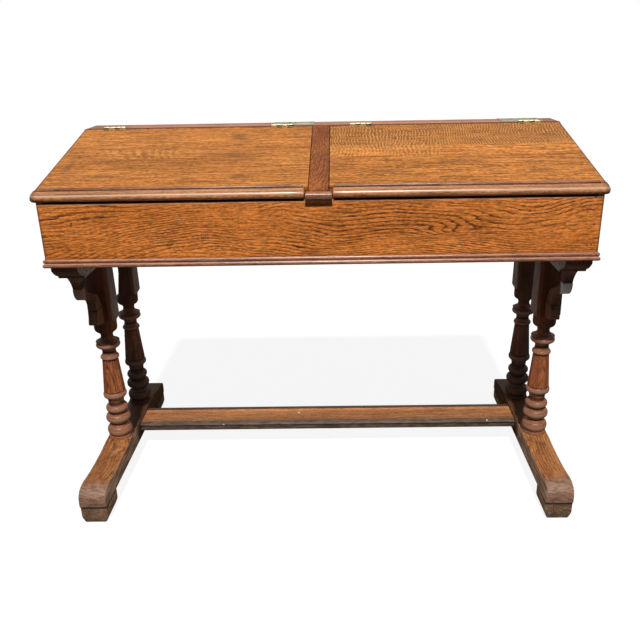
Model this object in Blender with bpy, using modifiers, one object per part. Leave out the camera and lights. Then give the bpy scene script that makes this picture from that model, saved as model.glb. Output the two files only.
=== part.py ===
"""Double school desk: a shallow oak box with two sloping lids, carried on two trestle ends.

Metres, +Z up. The origin is on the floor under the middle of the feet. +X runs to the
right-hand pupil, and -Y is the side where the pupils sit.
"""
import math

import bmesh
import bpy
from mathutils import Matrix

# Fits
CLEARANCE = 0.0003          # between pieces that touch
HINGE_RUN = 0.00009         # radial running fit of a hinge pin

# The desk as a whole
DESK_WIDTH = 1.144          # over the outer ends of the lid nosings
LEDGE_HEIGHT = 0.8428       # floor to the top of the back ledge
KNEE_HEIGHT = 0.6055        # floor to the underside of the box
FOOT_LENGTH = 0.588         # toe to heel
TOE_REACH = 0.0423          # toe ahead of the front board

# Box
BOX_DEPTH = 0.446           # front face to back face
END_OVERHANG = 0.0065       # lids and ledge past the side boards
FRONT_BOARD = 0.016
SIDE_BOARD = 0.016
BACK_BOARD = 0.014
BOTTOM_BOARD = 0.012
PARTITION = 0.016
LEDGE_BOARD = 0.016
LEDGE_OVERHANG = 0.005      # ledge past the back board
LEDGE_JOINT = 0.0345        # butt joint of the ledge's two lengths, right of the middle
FRONT_SLOT = 0.0047         # lid's underside above the front board

# Base moulding: a deep bead with a slighter bead over it
BEAD_LOW = 0.0100
BEAD_HIGH = 0.0080
BEAD_LOW_OUT = 0.0050
BEAD_HIGH_OUT = 0.0036

# Lids
LID_SLOPE = math.radians(13.0)
LID_RUN = 0.3587            # level distance from the front board's face to the hinge line
LID_BOARD = 0.017
LID_END_INSET = 0.002       # lid board inside the nosing's outer end
LID_SIDE_GAP = 0.0015       # lid to muntin
LID_BACK_GAP = 0.001        # lid, or ledge, to the hinge line
NOSING_REACH = 0.0080       # nosing ahead of the front board
NOSING_DEPTH = 0.024
NOSING_GAP = 0.002          # nosing's inner end to the muntin cap
PEN_STOP_WIDTH = 0.007
PEN_STOP_HEIGHT = 0.0035
PEN_STOP_SETBACK = 0.0035   # behind the nosing's joint
PEN_STOP_OUTER_INSET = 0.0103
PEN_STOP_INNER_INSET = 0.0095
MUNTIN_WIDTH = 0.040
MUNTIN_THICK = 0.020
MUNTIN_PROUD = 0.001
MUNTIN_CAP_WIDTH = 0.054
MUNTIN_CAP_THICK = 0.014
MUNTIN_CAP_DROP = 0.0048    # below the front board's top edge
MUNTIN_CAP_BEVEL = 0.004
MUNTIN_CAP_UNDER = 0.014    # height of the round under the cap

# Butt hinges
HINGE_LENGTH = 0.052
HINGE_SPREAD = 0.2015       # each hinge from the middle of its lid
KNUCKLE_RADIUS = 0.003
PIN_RADIUS = 0.0015
PIN_HEAD_RADIUS = 0.0023
PIN_HEAD_LENGTH = 0.0012
LEAF_THICK = 0.0014
LEAF_DEPTH = 0.012          # leaf below the lid's top surface
KNUCKLE_SIDES = 12
KNUCKLES = 4                # taken in turn by the two leaves

# Inkwells
INK_LEFT_X = -0.0685        # middle of the left-hand pupil's slide plate
INK_RIGHT_INSET = 0.087     # middle of the right-hand plate from the ledge's end
INK_PLATE_LENGTH = 0.098
INK_PLATE_DEPTH = 0.056
INK_PLATE_THICK = 0.0008
INK_RUNNER_HEIGHT = 0.0028
INK_RUNNER_WALL = 0.0010
INK_LIP = 0.0048
INK_LIP_THICK = 0.0006
INK_COVER_LENGTH = 0.048
INK_COVER_THICK = 0.0008
INK_BUTTON_RADIUS = 0.0050
INK_BUTTON_HEIGHT = 0.0016
INK_TRAVEL = 0.046
INK_MOUTH_RADIUS = 0.0165
INK_POT_RADIUS = 0.0205
INK_POT_DEPTH = 0.038
INK_POT_FLOOR = 0.004
INK_FLANGE_RADIUS = 0.026
INK_FLANGE_THICK = 0.0025
INK_SIDES = 24

# Trestle ends
FOOT_WIDTH = 0.062
FOOT_DEPTH = 0.0497         # foot rail from its underside to the seat of the legs
FOOT_DIP = 0.006            # hollow of the top between a leg and a toe
TOE_ROUND = 0.026           # round of the toe
FOOT_EDGE = 0.002
PAD_HEIGHT = 0.0385
PAD_LENGTH = 0.080
PAD_SETBACK = 0.0035        # pad behind the toe
PAD_CHAMFER_HEIGHT = 0.014
PAD_CHAMFER_SIDE = 0.006
PAD_CHAMFER_END = 0.002
FRONT_LEG_SETBACK = 0.2089  # front board's face to the front legs' axis
LEG_SPACING = 0.1962        # front leg's axis to the back leg's axis
BEARER_WIDTH = 0.057
BEARER_DEPTH = 0.0352
BEARER_INSET = 0.005        # bearer inside the box's side
BEARER_SETBACK = 0.0082     # bearer's moulded end behind the front board's face
BEARER_BACK_INSET = 0.004
BEARER_FILLET = 0.0105      # upper fillet of the moulded end
BEARER_DRAW = 0.032         # how far the moulding draws back
TENON_RADIUS = 0.012
TENON_LENGTH = 0.016
LEG_SIDES = 16
HEAD_LOW_ACROSS = 0.061     # chamfered head of a leg, across its flats at the lower end
HEAD_TOP_ACROSS = 0.058     # the same under the bearer
HEAD_CHAMFER = 0.009
HEAD_SCOOP = 0.010          # height over which the head draws in to the cup

# Heights up the turned part of a leg, above the foot
HEAD_LOW = 0.3260
CUP_TOP = 0.3185
CUP_RADIUS = 0.0275
CUP_STRAIGHT = 0.0150       # upright part of the cup
CUP_DEPTH = 0.0275
NECK_HEIGHT = 0.2825
NECK_RADIUS = 0.0145
SHAFT_TOP = 0.2165
SHAFT_BOTTOM = 0.1305
SHAFT_TOP_RADIUS = 0.0180
SHAFT_BOTTOM_RADIUS = 0.0245
COVE_RADIUS = 0.0185

# Console brackets
CONSOLE_THICK = 0.021
CONSOLE_DROP = 0.155        # bracket's height under the bearer
CONSOLE_REACH = 0.134       # bracket's neck ahead of the leg
CONSOLE_NECK = 0.048        # depth of the neck under the bearer

# Stretcher
STRETCHER_WIDTH = 0.090
STRETCHER_THICK = 0.023
STRETCHER_TOP = 0.0790      # floor to the stretcher's top
STRETCHER_SETBACK = 0.0705  # front leg's axis to the stretcher's front edge
STRETCHER_BEAD = 0.007
STRETCHER_TENON = 0.012
STRETCHER_SHOULDER = 0.004

SHARP_ANGLE = math.radians(40.0)   # edges sharper than this stay sharp when shaded

# Colours (linear), with roughness and metallic values
FINISHES = {
    "oak_front": ((0.36, 0.145, 0.036), 0.45, 0.0),
    "oak_lid": ((0.40, 0.17, 0.045), 0.42, 0.0),
    "oak_red": ((0.20, 0.055, 0.022), 0.42, 0.0),
    "oak_dark": ((0.11, 0.038, 0.018), 0.48, 0.0),
    "oak_raw": ((0.30, 0.17, 0.080), 0.65, 0.0),
    "brass": ((0.62, 0.45, 0.18), 0.35, 1.0),
    "steel_pin": ((0.45, 0.40, 0.32), 0.40, 1.0),
    "ceramic": ((0.78, 0.76, 0.70), 0.25, 0.0),
}

# Places worked out from the driving dimensions
half_width = DESK_WIDTH / 2
box_half = half_width - END_OVERHANG
front_y = TOE_REACH - FOOT_LENGTH / 2
back_y = front_y + BOX_DEPTH
hinge_y = front_y + LID_RUN
ledge_front = hinge_y + LID_BACK_GAP
ledge_back = back_y + LEDGE_OVERHANG
ledge_under = LEDGE_HEIGHT - LEDGE_BOARD
leg_x = box_half - FOOT_WIDTH / 2
front_leg_y = front_y + FRONT_LEG_SETBACK
back_leg_y = front_leg_y + LEG_SPACING
foot_bottom = PAD_HEIGHT + CLEARANCE
foot_top = foot_bottom + FOOT_DEPTH
bearer_top = KNEE_HEIGHT - CLEARANCE
bearer_bottom = bearer_top - BEARER_DEPTH
leg_top = bearer_bottom - CLEARANCE
head_low = foot_top + HEAD_LOW
bearer_front = front_y + BEARER_SETBACK
muntin_half = MUNTIN_WIDTH / 2
lid_inner = muntin_half + LID_SIDE_GAP
lid_outer = half_width - LID_END_INSET
nosing_inner = MUNTIN_CAP_WIDTH / 2 + NOSING_GAP
lid_middle = (lid_inner + lid_outer) / 2
nosing_end = (LID_RUN + NOSING_REACH) / math.cos(LID_SLOPE) + LID_BOARD / 2 * math.tan(LID_SLOPE)
nosing_joint = nosing_end - NOSING_DEPTH
knuckle_z = LEDGE_HEIGHT + KNUCKLE_RADIUS + CLEARANCE / 3
SIDES = {"left": -1, "right": 1}


def lid_point(run, rise):
    """Place on the lid's section: run down the slope from the hinge line, rise square to the top."""
    y = hinge_y - run * math.cos(LID_SLOPE) - rise * math.sin(LID_SLOPE)
    z = LEDGE_HEIGHT - run * math.sin(LID_SLOPE) + rise * math.cos(LID_SLOPE)
    return (y, z)


def lid_height(y, rise):
    """Height of the line that lies rise above the lids' top surface, at depth y."""
    return LEDGE_HEIGHT - (hinge_y - y) * math.tan(LID_SLOPE) + rise / math.cos(LID_SLOPE)


def curve_points(start, pull, end, count):
    """Points of a quadratic curve from start to end, drawn towards pull, without its start."""
    points = []
    for step in range(1, count + 1):
        t = step / count
        weights = ((1 - t) ** 2, 2 * t * (1 - t), t ** 2)
        points.append(tuple(sum(w * p[i] for w, p in zip(weights, (start, pull, end))) for i in (0, 1)))
    return points


def arc_points(centre, radii, first, last, count):
    """Points of an elliptical arc between two angles in degrees."""
    points = []
    for step in range(count + 1):
        angle = math.radians(first + (last - first) * step / count)
        points.append((centre[0] + radii[0] * math.cos(angle), centre[1] + radii[1] * math.sin(angle)))
    return points


def add_object(name, mesh, finish=None):
    """Link a mesh, its curved faces shaded smooth, as a sub-part with its own material or as a cutter."""
    mesh.shade_smooth()
    mesh.set_sharp_from_angle(angle=SHARP_ANGLE)
    piece = bpy.data.objects.new(name, mesh)
    if finish is None:
        cutters.objects.link(piece)
        piece.hide_render = True
        piece.display_type = "WIRE"
        return piece
    parts.objects.link(piece)
    colour, roughness, metallic = FINISHES[finish]
    material = bpy.data.materials.new(name + "_" + finish)
    material.use_nodes = True
    shader = material.node_tree.nodes["Principled BSDF"]
    shader.inputs["Base Color"].default_value = (*colour, 1.0)
    shader.inputs["Roughness"].default_value = roughness
    shader.inputs["Metallic"].default_value = metallic
    piece.data.materials.clear()
    piece.data.materials.append(material)
    return piece


def box(name, low, high, finish=None):
    """A rectangular board between two corners."""
    mesh = bpy.data.meshes.new(name)
    solid = bmesh.new()
    size = [h - l for l, h in zip(low, high)]
    middle = [(h + l) / 2 for l, h in zip(low, high)]
    bmesh.ops.create_cube(solid, size=1.0, matrix=Matrix.Translation(middle) @ Matrix.Diagonal((*size, 1.0)))
    solid.to_mesh(mesh)
    solid.free()
    return add_object(name, mesh, finish)


def rod(name, centre, radius, length, sides, axis, finish=None):
    """A round rod about X or Z through its centre."""
    mesh = bpy.data.meshes.new(name)
    solid = bmesh.new()
    turn = Matrix.Rotation(math.radians(90), 4, "Y") if axis == "X" else Matrix.Identity(4)
    bmesh.ops.create_cone(solid, cap_ends=True, segments=sides, radius1=radius, radius2=radius,
                          depth=length, matrix=Matrix.Translation(centre) @ turn)
    solid.to_mesh(mesh)
    solid.free()
    return add_object(name, mesh, finish)


def outline(name, points, start, end, along, finish=None):
    """A flat outline given thickness: drawn in Y and Z and carried along X, or in X and Z along Y."""
    curve = bpy.data.curves.new(name + "_outline", "CURVE")
    curve.dimensions = "2D"
    curve.fill_mode = "BOTH"
    curve.extrude = (end - start) / 2
    spline = curve.splines.new("POLY")
    spline.points.add(len(points) - 1)
    for point, (u, v) in zip(spline.points, points):
        point.co = (u, v, 0.0, 1.0)
    spline.use_cyclic_u = True
    holder = bpy.data.objects.new(name + "_outline", curve)
    cutters.objects.link(holder)
    bpy.context.view_layer.update()
    mesh = bpy.data.meshes.new_from_object(holder.evaluated_get(bpy.context.evaluated_depsgraph_get()))
    bpy.data.objects.remove(holder)
    middle = (start + end) / 2
    if along == "X":
        place = Matrix(((0, 0, 1, middle), (1, 0, 0, 0), (0, 1, 0, 0), (0, 0, 0, 1)))
    else:
        place = Matrix(((1, 0, 0, 0), (0, 0, -1, middle), (0, 1, 0, 0), (0, 0, 0, 1)))
    solid = bmesh.new()
    solid.from_mesh(mesh)
    bmesh.ops.remove_doubles(solid, verts=solid.verts, dist=0.000001)
    bmesh.ops.transform(solid, matrix=place, verts=solid.verts)
    bmesh.ops.recalc_face_normals(solid, faces=solid.faces)
    solid.to_mesh(mesh)
    solid.free()
    return add_object(name, mesh, finish)


def turned(name, profile, sides, finish=None):
    """A profile of radius and height, top to bottom, turned about Z."""
    mesh = bpy.data.meshes.new(name)
    edges = [(i, i + 1) for i in range(len(profile) - 1)]
    mesh.from_pydata([(r, 0.0, z) for r, z in profile], edges, [])
    piece = add_object(name, mesh, finish)
    screw = piece.modifiers.new("Turning", "SCREW")
    screw.axis = "Z"
    screw.steps = sides
    screw.render_steps = sides
    screw.use_merge_vertices = True
    screw.merge_threshold = 0.00001
    return piece


def loft(name, sections, finish=None):
    """A solid through level sections with equal numbers of corners, listed from the bottom up."""
    mesh = bpy.data.meshes.new(name)
    solid = bmesh.new()
    rings = [[solid.verts.new(corner) for corner in section] for section in sections]
    solid.faces.new(list(reversed(rings[0])))
    solid.faces.new(rings[-1])
    count = len(rings[0])
    for lower, upper in zip(rings, rings[1:]):
        for i in range(count):
            j = (i + 1) % count
            solid.faces.new((lower[i], lower[j], upper[j], upper[i]))
    solid.to_mesh(mesh)
    solid.free()
    return add_object(name, mesh, finish)


def boolean(piece, tool, operation):
    """Cut a tool out of a piece, or join it to the piece."""
    modifier = piece.modifiers.new(tool.name, "BOOLEAN")
    modifier.operation = operation
    modifier.object = tool
    return piece


def settled_mesh(piece):
    """The piece's mesh with its modifiers applied."""
    bpy.context.view_layer.update()
    return bpy.data.meshes.new_from_object(piece.evaluated_get(bpy.context.evaluated_depsgraph_get()))


def axis_empty(name, place):
    """An empty on a joint's axis, which carries the pieces that move about it."""
    empty = bpy.data.objects.new(name, None)
    empty.empty_display_size = 0.03
    empty.location = place
    parts.objects.link(empty)
    bpy.context.view_layer.update()
    return empty


def carry(pieces, empty):
    """Parent pieces to a joint's empty without moving them."""
    for piece in pieces:
        piece.parent = empty
        piece.matrix_parent_inverse = empty.matrix_world.inverted()


def rectangle(x_low, x_high, y_low, y_high, z):
    """Corners of a level rectangle, anticlockwise from above."""
    return [(x_low, y_low, z), (x_high, y_low, z), (x_high, y_high, z), (x_low, y_high, z)]


def side_outline(front, back, top_rise):
    """Outline of an upright board that follows the lids' slope and then the ledge."""
    ledge_line = ledge_under - CLEARANCE
    return [
        (front, KNEE_HEIGHT),
        (back, KNEE_HEIGHT),
        (back, ledge_line),
        (ledge_front, ledge_line),
        (ledge_front, min(ledge_line, lid_height(ledge_front, top_rise))),
        (front, lid_height(front, top_rise)),
    ]


def make_box():
    """The fixed boards of the box."""
    inner_front = front_y + FRONT_BOARD + CLEARANCE
    inner_half = box_half - SIDE_BOARD
    front_top = lid_height(front_y, -LID_BOARD) - FRONT_SLOT
    box("front_board", (-box_half, front_y, KNEE_HEIGHT), (box_half, front_y + FRONT_BOARD, front_top), "oak_front")
    rest_rise = -LID_BOARD - CLEARANCE
    for side, sign in SIDES.items():
        faces = sorted((sign * inner_half, sign * box_half))
        outline(side + "_side_board", side_outline(inner_front, back_y, rest_rise), *faces, "X", "oak_front")
    fit_half = inner_half - CLEARANCE
    box("back_board", (-fit_half, back_y - BACK_BOARD, KNEE_HEIGHT),
        (fit_half, back_y, ledge_under - CLEARANCE), "oak_front")
    inner_back = back_y - BACK_BOARD - CLEARANCE
    bottom_top = KNEE_HEIGHT + BOTTOM_BOARD
    box("bottom_board", (-fit_half, inner_front, KNEE_HEIGHT), (fit_half, inner_back, bottom_top), "oak_raw")
    partition_shape = side_outline(inner_front, inner_back, MUNTIN_PROUD - MUNTIN_THICK - CLEARANCE)
    partition_shape = [(y, max(z, bottom_top + CLEARANCE)) for y, z in partition_shape]
    outline("centre_partition", partition_shape, -PARTITION / 2, PARTITION / 2, "X", "oak_raw")
    muntin_back = ledge_front - CLEARANCE
    muntin_shape = [
        (front_y, lid_height(front_y, MUNTIN_PROUD - MUNTIN_THICK)),
        (muntin_back, lid_height(muntin_back, MUNTIN_PROUD - MUNTIN_THICK)),
        (muntin_back, lid_height(muntin_back, MUNTIN_PROUD)),
        (front_y, lid_height(front_y, MUNTIN_PROUD)),
    ]
    outline("centre_muntin", muntin_shape, -muntin_half, muntin_half, "X", "oak_red")
    make_muntin_cap(front_top - MUNTIN_CAP_DROP)


def make_muntin_cap(bottom):
    """Block over the front end of the muntin, bevelled above and rounded back to the board below."""
    half = MUNTIN_CAP_WIDTH / 2
    back = front_y - CLEARANCE
    front = back - MUNTIN_CAP_THICK
    top = lid_height(front, 0.0)
    bevel = MUNTIN_CAP_BEVEL
    under = MUNTIN_CAP_UNDER
    loft("muntin_cap", [
        rectangle(-half + bevel, half - bevel, back - MUNTIN_CAP_THICK * 0.25, back, bottom),
        rectangle(-half, half, back - MUNTIN_CAP_THICK * 0.66, back, bottom + under * 0.40),
        rectangle(-half, half, back - MUNTIN_CAP_THICK * 0.91, back, bottom + under * 0.75),
        rectangle(-half, half, front, back, bottom + under),
        rectangle(-half, half, front, back, top - bevel),
        rectangle(-half + bevel, half - bevel, front + bevel, back, top),
    ], "oak_dark")


def moulding_profile():
    """Section of the base moulding: distance out from the box, and height."""
    low = arc_points((0.0, KNEE_HEIGHT + BEAD_LOW / 2), (BEAD_LOW_OUT, BEAD_LOW / 2), -90, 90, 6)
    high_middle = KNEE_HEIGHT + BEAD_LOW + BEAD_HIGH / 2
    high = arc_points((0.0, high_middle), (BEAD_HIGH_OUT, BEAD_HIGH / 2), -90, 90, 6)
    root = CLEARANCE * 4
    points = [(0.0, KNEE_HEIGHT)]
    points += [(max(out, root), z) for out, z in low]
    points += [(max(out, root), z) for out, z in high[1:]]
    points.append((0.0, high[-1][1]))
    return points


def make_mouldings():
    """Base mouldings on the front and the two ends, mitred at the front corners."""
    profile = moulding_profile()
    front_shape = [(front_y - CLEARANCE - out, z) for out, z in profile]
    front = outline("front_base_moulding", front_shape, -box_half, box_half, "X", "oak_red")
    for vertex in front.data.vertices:
        out = front_y - vertex.co.y
        vertex.co.x += math.copysign(out, vertex.co.x)
    for side, sign in SIDES.items():
        shape = [(sign * (box_half + CLEARANCE + out), z) for out, z in profile]
        ends = (front_y, back_y)
        piece = outline(side + "_base_moulding", shape, *ends, "Y", "oak_red")
        for vertex in piece.data.vertices:
            out = abs(vertex.co.x) - box_half
            if vertex.co.y < hinge_y:
                vertex.co.y = front_y - out + 2 * CLEARANCE


def make_ledge():
    """Back ledge in two butted lengths, each with two hinge recesses and an inkwell seat."""
    ends = {"left": (-half_width, LEDGE_JOINT - CLEARANCE / 2), "right": (LEDGE_JOINT + CLEARANCE / 2, half_width)}
    for side, (x, y) in ink_places().items():
        start, end = ends[side]
        ledge = box(side + "_ledge", (start, ledge_front, ledge_under), (end, ledge_back, LEDGE_HEIGHT), "oak_red")
        for place in hinge_places():
            if start < place < end:
                boolean(ledge, leaf_recess(side + "_ledge_recess", place, 1), "DIFFERENCE")
        seat_depth = INK_FLANGE_THICK + 2 * CLEARANCE
        seat = rod(side + "_ink_seat", (x, y, LEDGE_HEIGHT), INK_FLANGE_RADIUS + CLEARANCE,
                   2 * seat_depth, INK_SIDES, "Z")
        bore = rod(side + "_ink_bore", (x, y, LEDGE_HEIGHT), INK_POT_RADIUS + CLEARANCE,
                   4 * LEDGE_BOARD, INK_SIDES, "Z")
        boolean(ledge, seat, "DIFFERENCE")
        boolean(ledge, bore, "DIFFERENCE")


def hinge_places():
    """Middles of the four hinges along X."""
    return [sign * lid_middle + offset for sign in SIDES.values() for offset in (-HINGE_SPREAD, HINGE_SPREAD)]


def leaf_recess(name, x, side):
    """Cutter for the shallow recess that a hinge leaf lies in; side is 1 in the ledge, -1 in a lid."""
    inner = hinge_y
    outer = hinge_y + side * (2 * CLEARANCE + LEAF_THICK)
    faces = sorted((inner, outer))
    reach = HINGE_LENGTH / 2 + CLEARANCE
    return box(name, (x - reach, faces[0], LEDGE_HEIGHT - LEAF_DEPTH - CLEARANCE),
               (x + reach, faces[1], LEDGE_HEIGHT + KNUCKLE_RADIUS))


def make_lids():
    """Two lids, each a board, a half-round nosing and a pen stop, carried on its hinge axis."""
    half_thick = LID_BOARD / 2
    back = hinge_y - LID_BACK_GAP
    board_shape = [
        (back, lid_height(back, 0.0)),
        lid_point(nosing_joint, 0.0),
        lid_point(nosing_joint, -LID_BOARD),
        (back, lid_height(back, -LID_BOARD)),
    ]
    joint = nosing_joint + CLEARANCE
    nose = arc_points((nosing_end - half_thick, -half_thick), (half_thick, half_thick), 90, -90, 8)
    nosing_shape = [lid_point(run, rise) for run, rise in [(joint, 0.0)] + nose + [(joint, -LID_BOARD)]]
    stop_middle = nosing_joint - PEN_STOP_SETBACK - PEN_STOP_WIDTH / 2
    stop_round = arc_points((stop_middle, CLEARANCE),
                            (PEN_STOP_WIDTH / 2, PEN_STOP_HEIGHT), 0, 180, 6)
    stop_shape = [lid_point(run, rise) for run, rise in stop_round]
    for side, sign in SIDES.items():
        ends = sorted((sign * lid_inner, sign * lid_outer))
        board = outline(side + "_lid_board", board_shape, *ends, "X", "oak_lid")
        for offset in (-HINGE_SPREAD, HINGE_SPREAD):
            recess = leaf_recess(side + "_lid_recess", sign * lid_middle + offset, -1)
            boolean(board, recess, "DIFFERENCE")
        ends = sorted((sign * nosing_inner, sign * half_width))
        nosing = outline(side + "_lid_nosing", nosing_shape, *ends, "X", "oak_red")
        round_end(nosing, sign)
        ends = sorted((sign * (lid_inner + PEN_STOP_INNER_INSET), sign * (lid_outer - PEN_STOP_OUTER_INSET)))
        stop = outline(side + "_pen_stop", stop_shape, *ends, "X", "oak_red")
        empty = axis_empty(side + "_lid_axis", (sign * lid_middle, hinge_y, knuckle_z))
        carry([board, nosing, stop] + make_hinges(side, sign), empty)


def round_end(nosing, sign):
    """Draw a nosing's outer end in round its half-round: to the board's end above, and fully below."""
    half_thick = LID_BOARD / 2
    for vertex in nosing.data.vertices:
        if abs(sign * vertex.co.x - half_width) > CLEARANCE:
            continue
        surface = lid_height(vertex.co.y, 0.0)
        offset = (vertex.co.z - surface) * math.cos(LID_SLOPE) + half_thick
        share = 1 - math.sqrt(max(0.0, 1 - (offset / half_thick) ** 2))
        vertex.co.x -= sign * share * (LID_END_INSET if offset > 0 else half_thick)


def leaf_mesh(name, side, first):
    """One hinge leaf about its pin's axis at the origin: a plate with every second knuckle from the first."""
    pitch = HINGE_LENGTH / KNUCKLES
    plate_top = -KNUCKLE_RADIUS - CLEARANCE
    plate_bottom = -(knuckle_z - LEDGE_HEIGHT) - LEAF_DEPTH
    faces = sorted((side * CLEARANCE, side * (CLEARANCE + LEAF_THICK)))
    leaf = box(name, (-HINGE_LENGTH / 2, faces[0], plate_bottom), (HINGE_LENGTH / 2, faces[1], plate_top))
    bore_radius = PIN_RADIUS + HINGE_RUN
    for number in range(first, KNUCKLES, 2):
        middle = (number + 0.5) * pitch - HINGE_LENGTH / 2
        length = pitch - 2 * CLEARANCE
        barrel = rod(name + "_barrel", (middle, 0, 0), KNUCKLE_RADIUS, length, KNUCKLE_SIDES, "X")
        neck = box(name + "_neck", (middle - length / 2, faces[0], plate_top - LEAF_THICK),
                   (middle + length / 2, faces[1], -bore_radius - CLEARANCE))
        boolean(leaf, barrel, "UNION")
        boolean(leaf, neck, "UNION")
    bore = rod(name + "_bore", (0, 0, 0), bore_radius, 2 * HINGE_LENGTH, KNUCKLE_SIDES, "X")
    boolean(leaf, bore, "DIFFERENCE")
    mesh = settled_mesh(leaf)
    bpy.data.objects.remove(leaf)
    return mesh


def make_hinges(side, sign):
    """Two butt hinges of one lid; returns the leaves that move with it."""
    moving = []
    for number, offset in enumerate((-HINGE_SPREAD, HINGE_SPREAD), 1):
        place = (sign * lid_middle + offset, hinge_y, knuckle_z)
        name = side + "_hinge_" + str(number)
        first = 1 if abs(place[0]) > lid_middle else 0
        fixed_leaf = add_object(name + "_fixed_leaf", leaf_shapes["fixed", 1 - first].copy(), "brass")
        moving_leaf = add_object(name + "_moving_leaf", leaf_shapes["moving", first].copy(), "brass")
        head = HINGE_LENGTH / 2 + CLEARANCE
        tip = head + PIN_HEAD_LENGTH
        half = [(0.0, tip), (PIN_HEAD_RADIUS * 0.7, tip), (PIN_HEAD_RADIUS, head), (PIN_RADIUS, head)]
        profile = half + [(r, -z) for r, z in reversed(half)]
        pin = turned(name + "_pin", profile, KNUCKLE_SIDES, "steel_pin")
        pin.rotation_euler = (0.0, math.radians(90), 0.0)
        for piece in (fixed_leaf, moving_leaf, pin):
            piece.location = place
        moving.append(moving_leaf)
    bpy.context.view_layer.update()
    return moving


def ink_places():
    """Middles of the two slide plates on the ledge."""
    y = (ledge_front + ledge_back) / 2
    return {"left": (INK_LEFT_X + ink_hole_shift(), y), "right": (half_width - INK_RIGHT_INSET + ink_hole_shift(), y)}


def ink_hole_shift():
    """The pot's mouth lies under the closed cover, left of the plate's middle."""
    return -INK_TRAVEL / 2


def make_inkwells():
    """Ceramic pots let into the ledge under brass slide plates with sliding covers."""
    base = LEDGE_HEIGHT + CLEARANCE
    for side, (x, y) in ink_places().items():
        flange_top = LEDGE_HEIGHT - CLEARANCE
        flange_under = flange_top - INK_FLANGE_THICK
        pot_bottom = LEDGE_HEIGHT - INK_POT_DEPTH
        pot = turned(side + "_inkwell", [
            (0.0, pot_bottom + INK_POT_FLOOR),
            (INK_MOUTH_RADIUS, pot_bottom + INK_POT_FLOOR),
            (INK_MOUTH_RADIUS, flange_top),
            (INK_FLANGE_RADIUS, flange_top),
            (INK_FLANGE_RADIUS, flange_under),
            (INK_POT_RADIUS, flange_under),
            (INK_POT_RADIUS, pot_bottom),
            (0.0, pot_bottom),
        ], INK_SIDES, "ceramic")
        pot.location = (x, y, 0.0)
        plate_x = x - ink_hole_shift()
        half = INK_PLATE_DEPTH / 2
        inner = half - INK_RUNNER_WALL
        lip = half - INK_LIP
        floor = base + INK_PLATE_THICK
        top = base + INK_RUNNER_HEIGHT
        lip_under = top - INK_LIP_THICK
        right = [(half, base), (half, top), (lip, top), (lip, lip_under), (inner, lip_under), (inner, floor)]
        section = right + [(-u, v) for u, v in reversed(right)]
        section = [(y + u, v) for u, v in section]
        ends = (plate_x - INK_PLATE_LENGTH / 2, plate_x + INK_PLATE_LENGTH / 2)
        plate = outline(side + "_ink_plate", section, *ends, "X", "brass")
        mouth = rod(side + "_plate_mouth", (x, y, base), INK_MOUTH_RADIUS, 4 * INK_PLATE_THICK, INK_SIDES, "Z")
        boolean(plate, mouth, "DIFFERENCE")
        cover_z = floor + CLEARANCE
        cover_half = inner - CLEARANCE
        cover = box(side + "_ink_cover", (x - INK_COVER_LENGTH / 2, y - cover_half, cover_z),
                    (x + INK_COVER_LENGTH / 2, y + cover_half, cover_z + INK_COVER_THICK), "brass")
        button_z = cover_z + INK_COVER_THICK / 2
        button = turned(side + "_ink_button", [
            (0.0, button_z + INK_BUTTON_HEIGHT),
            (INK_BUTTON_RADIUS * 0.8, button_z + INK_BUTTON_HEIGHT),
            (INK_BUTTON_RADIUS, button_z + INK_BUTTON_HEIGHT * 0.75),
            (INK_BUTTON_RADIUS * 0.6, button_z + INK_BUTTON_HEIGHT * 0.4),
            (INK_BUTTON_RADIUS * 0.6, button_z),
            (0.0, button_z),
        ], KNUCKLE_SIDES)
        button.location = (x, y, 0.0)
        boolean(cover, button, "UNION")
        empty = axis_empty(side + "_ink_slide_axis", (x, y, cover_z))
        carry([cover], empty)


def ring_points(height, rise, root, radius, count=4):
    """Half-round ring of a turning: middle height, half rise, radius at its root and at its edge."""
    return arc_points((root, foot_top + height), (radius - root, rise), 90, -90, count)


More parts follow.
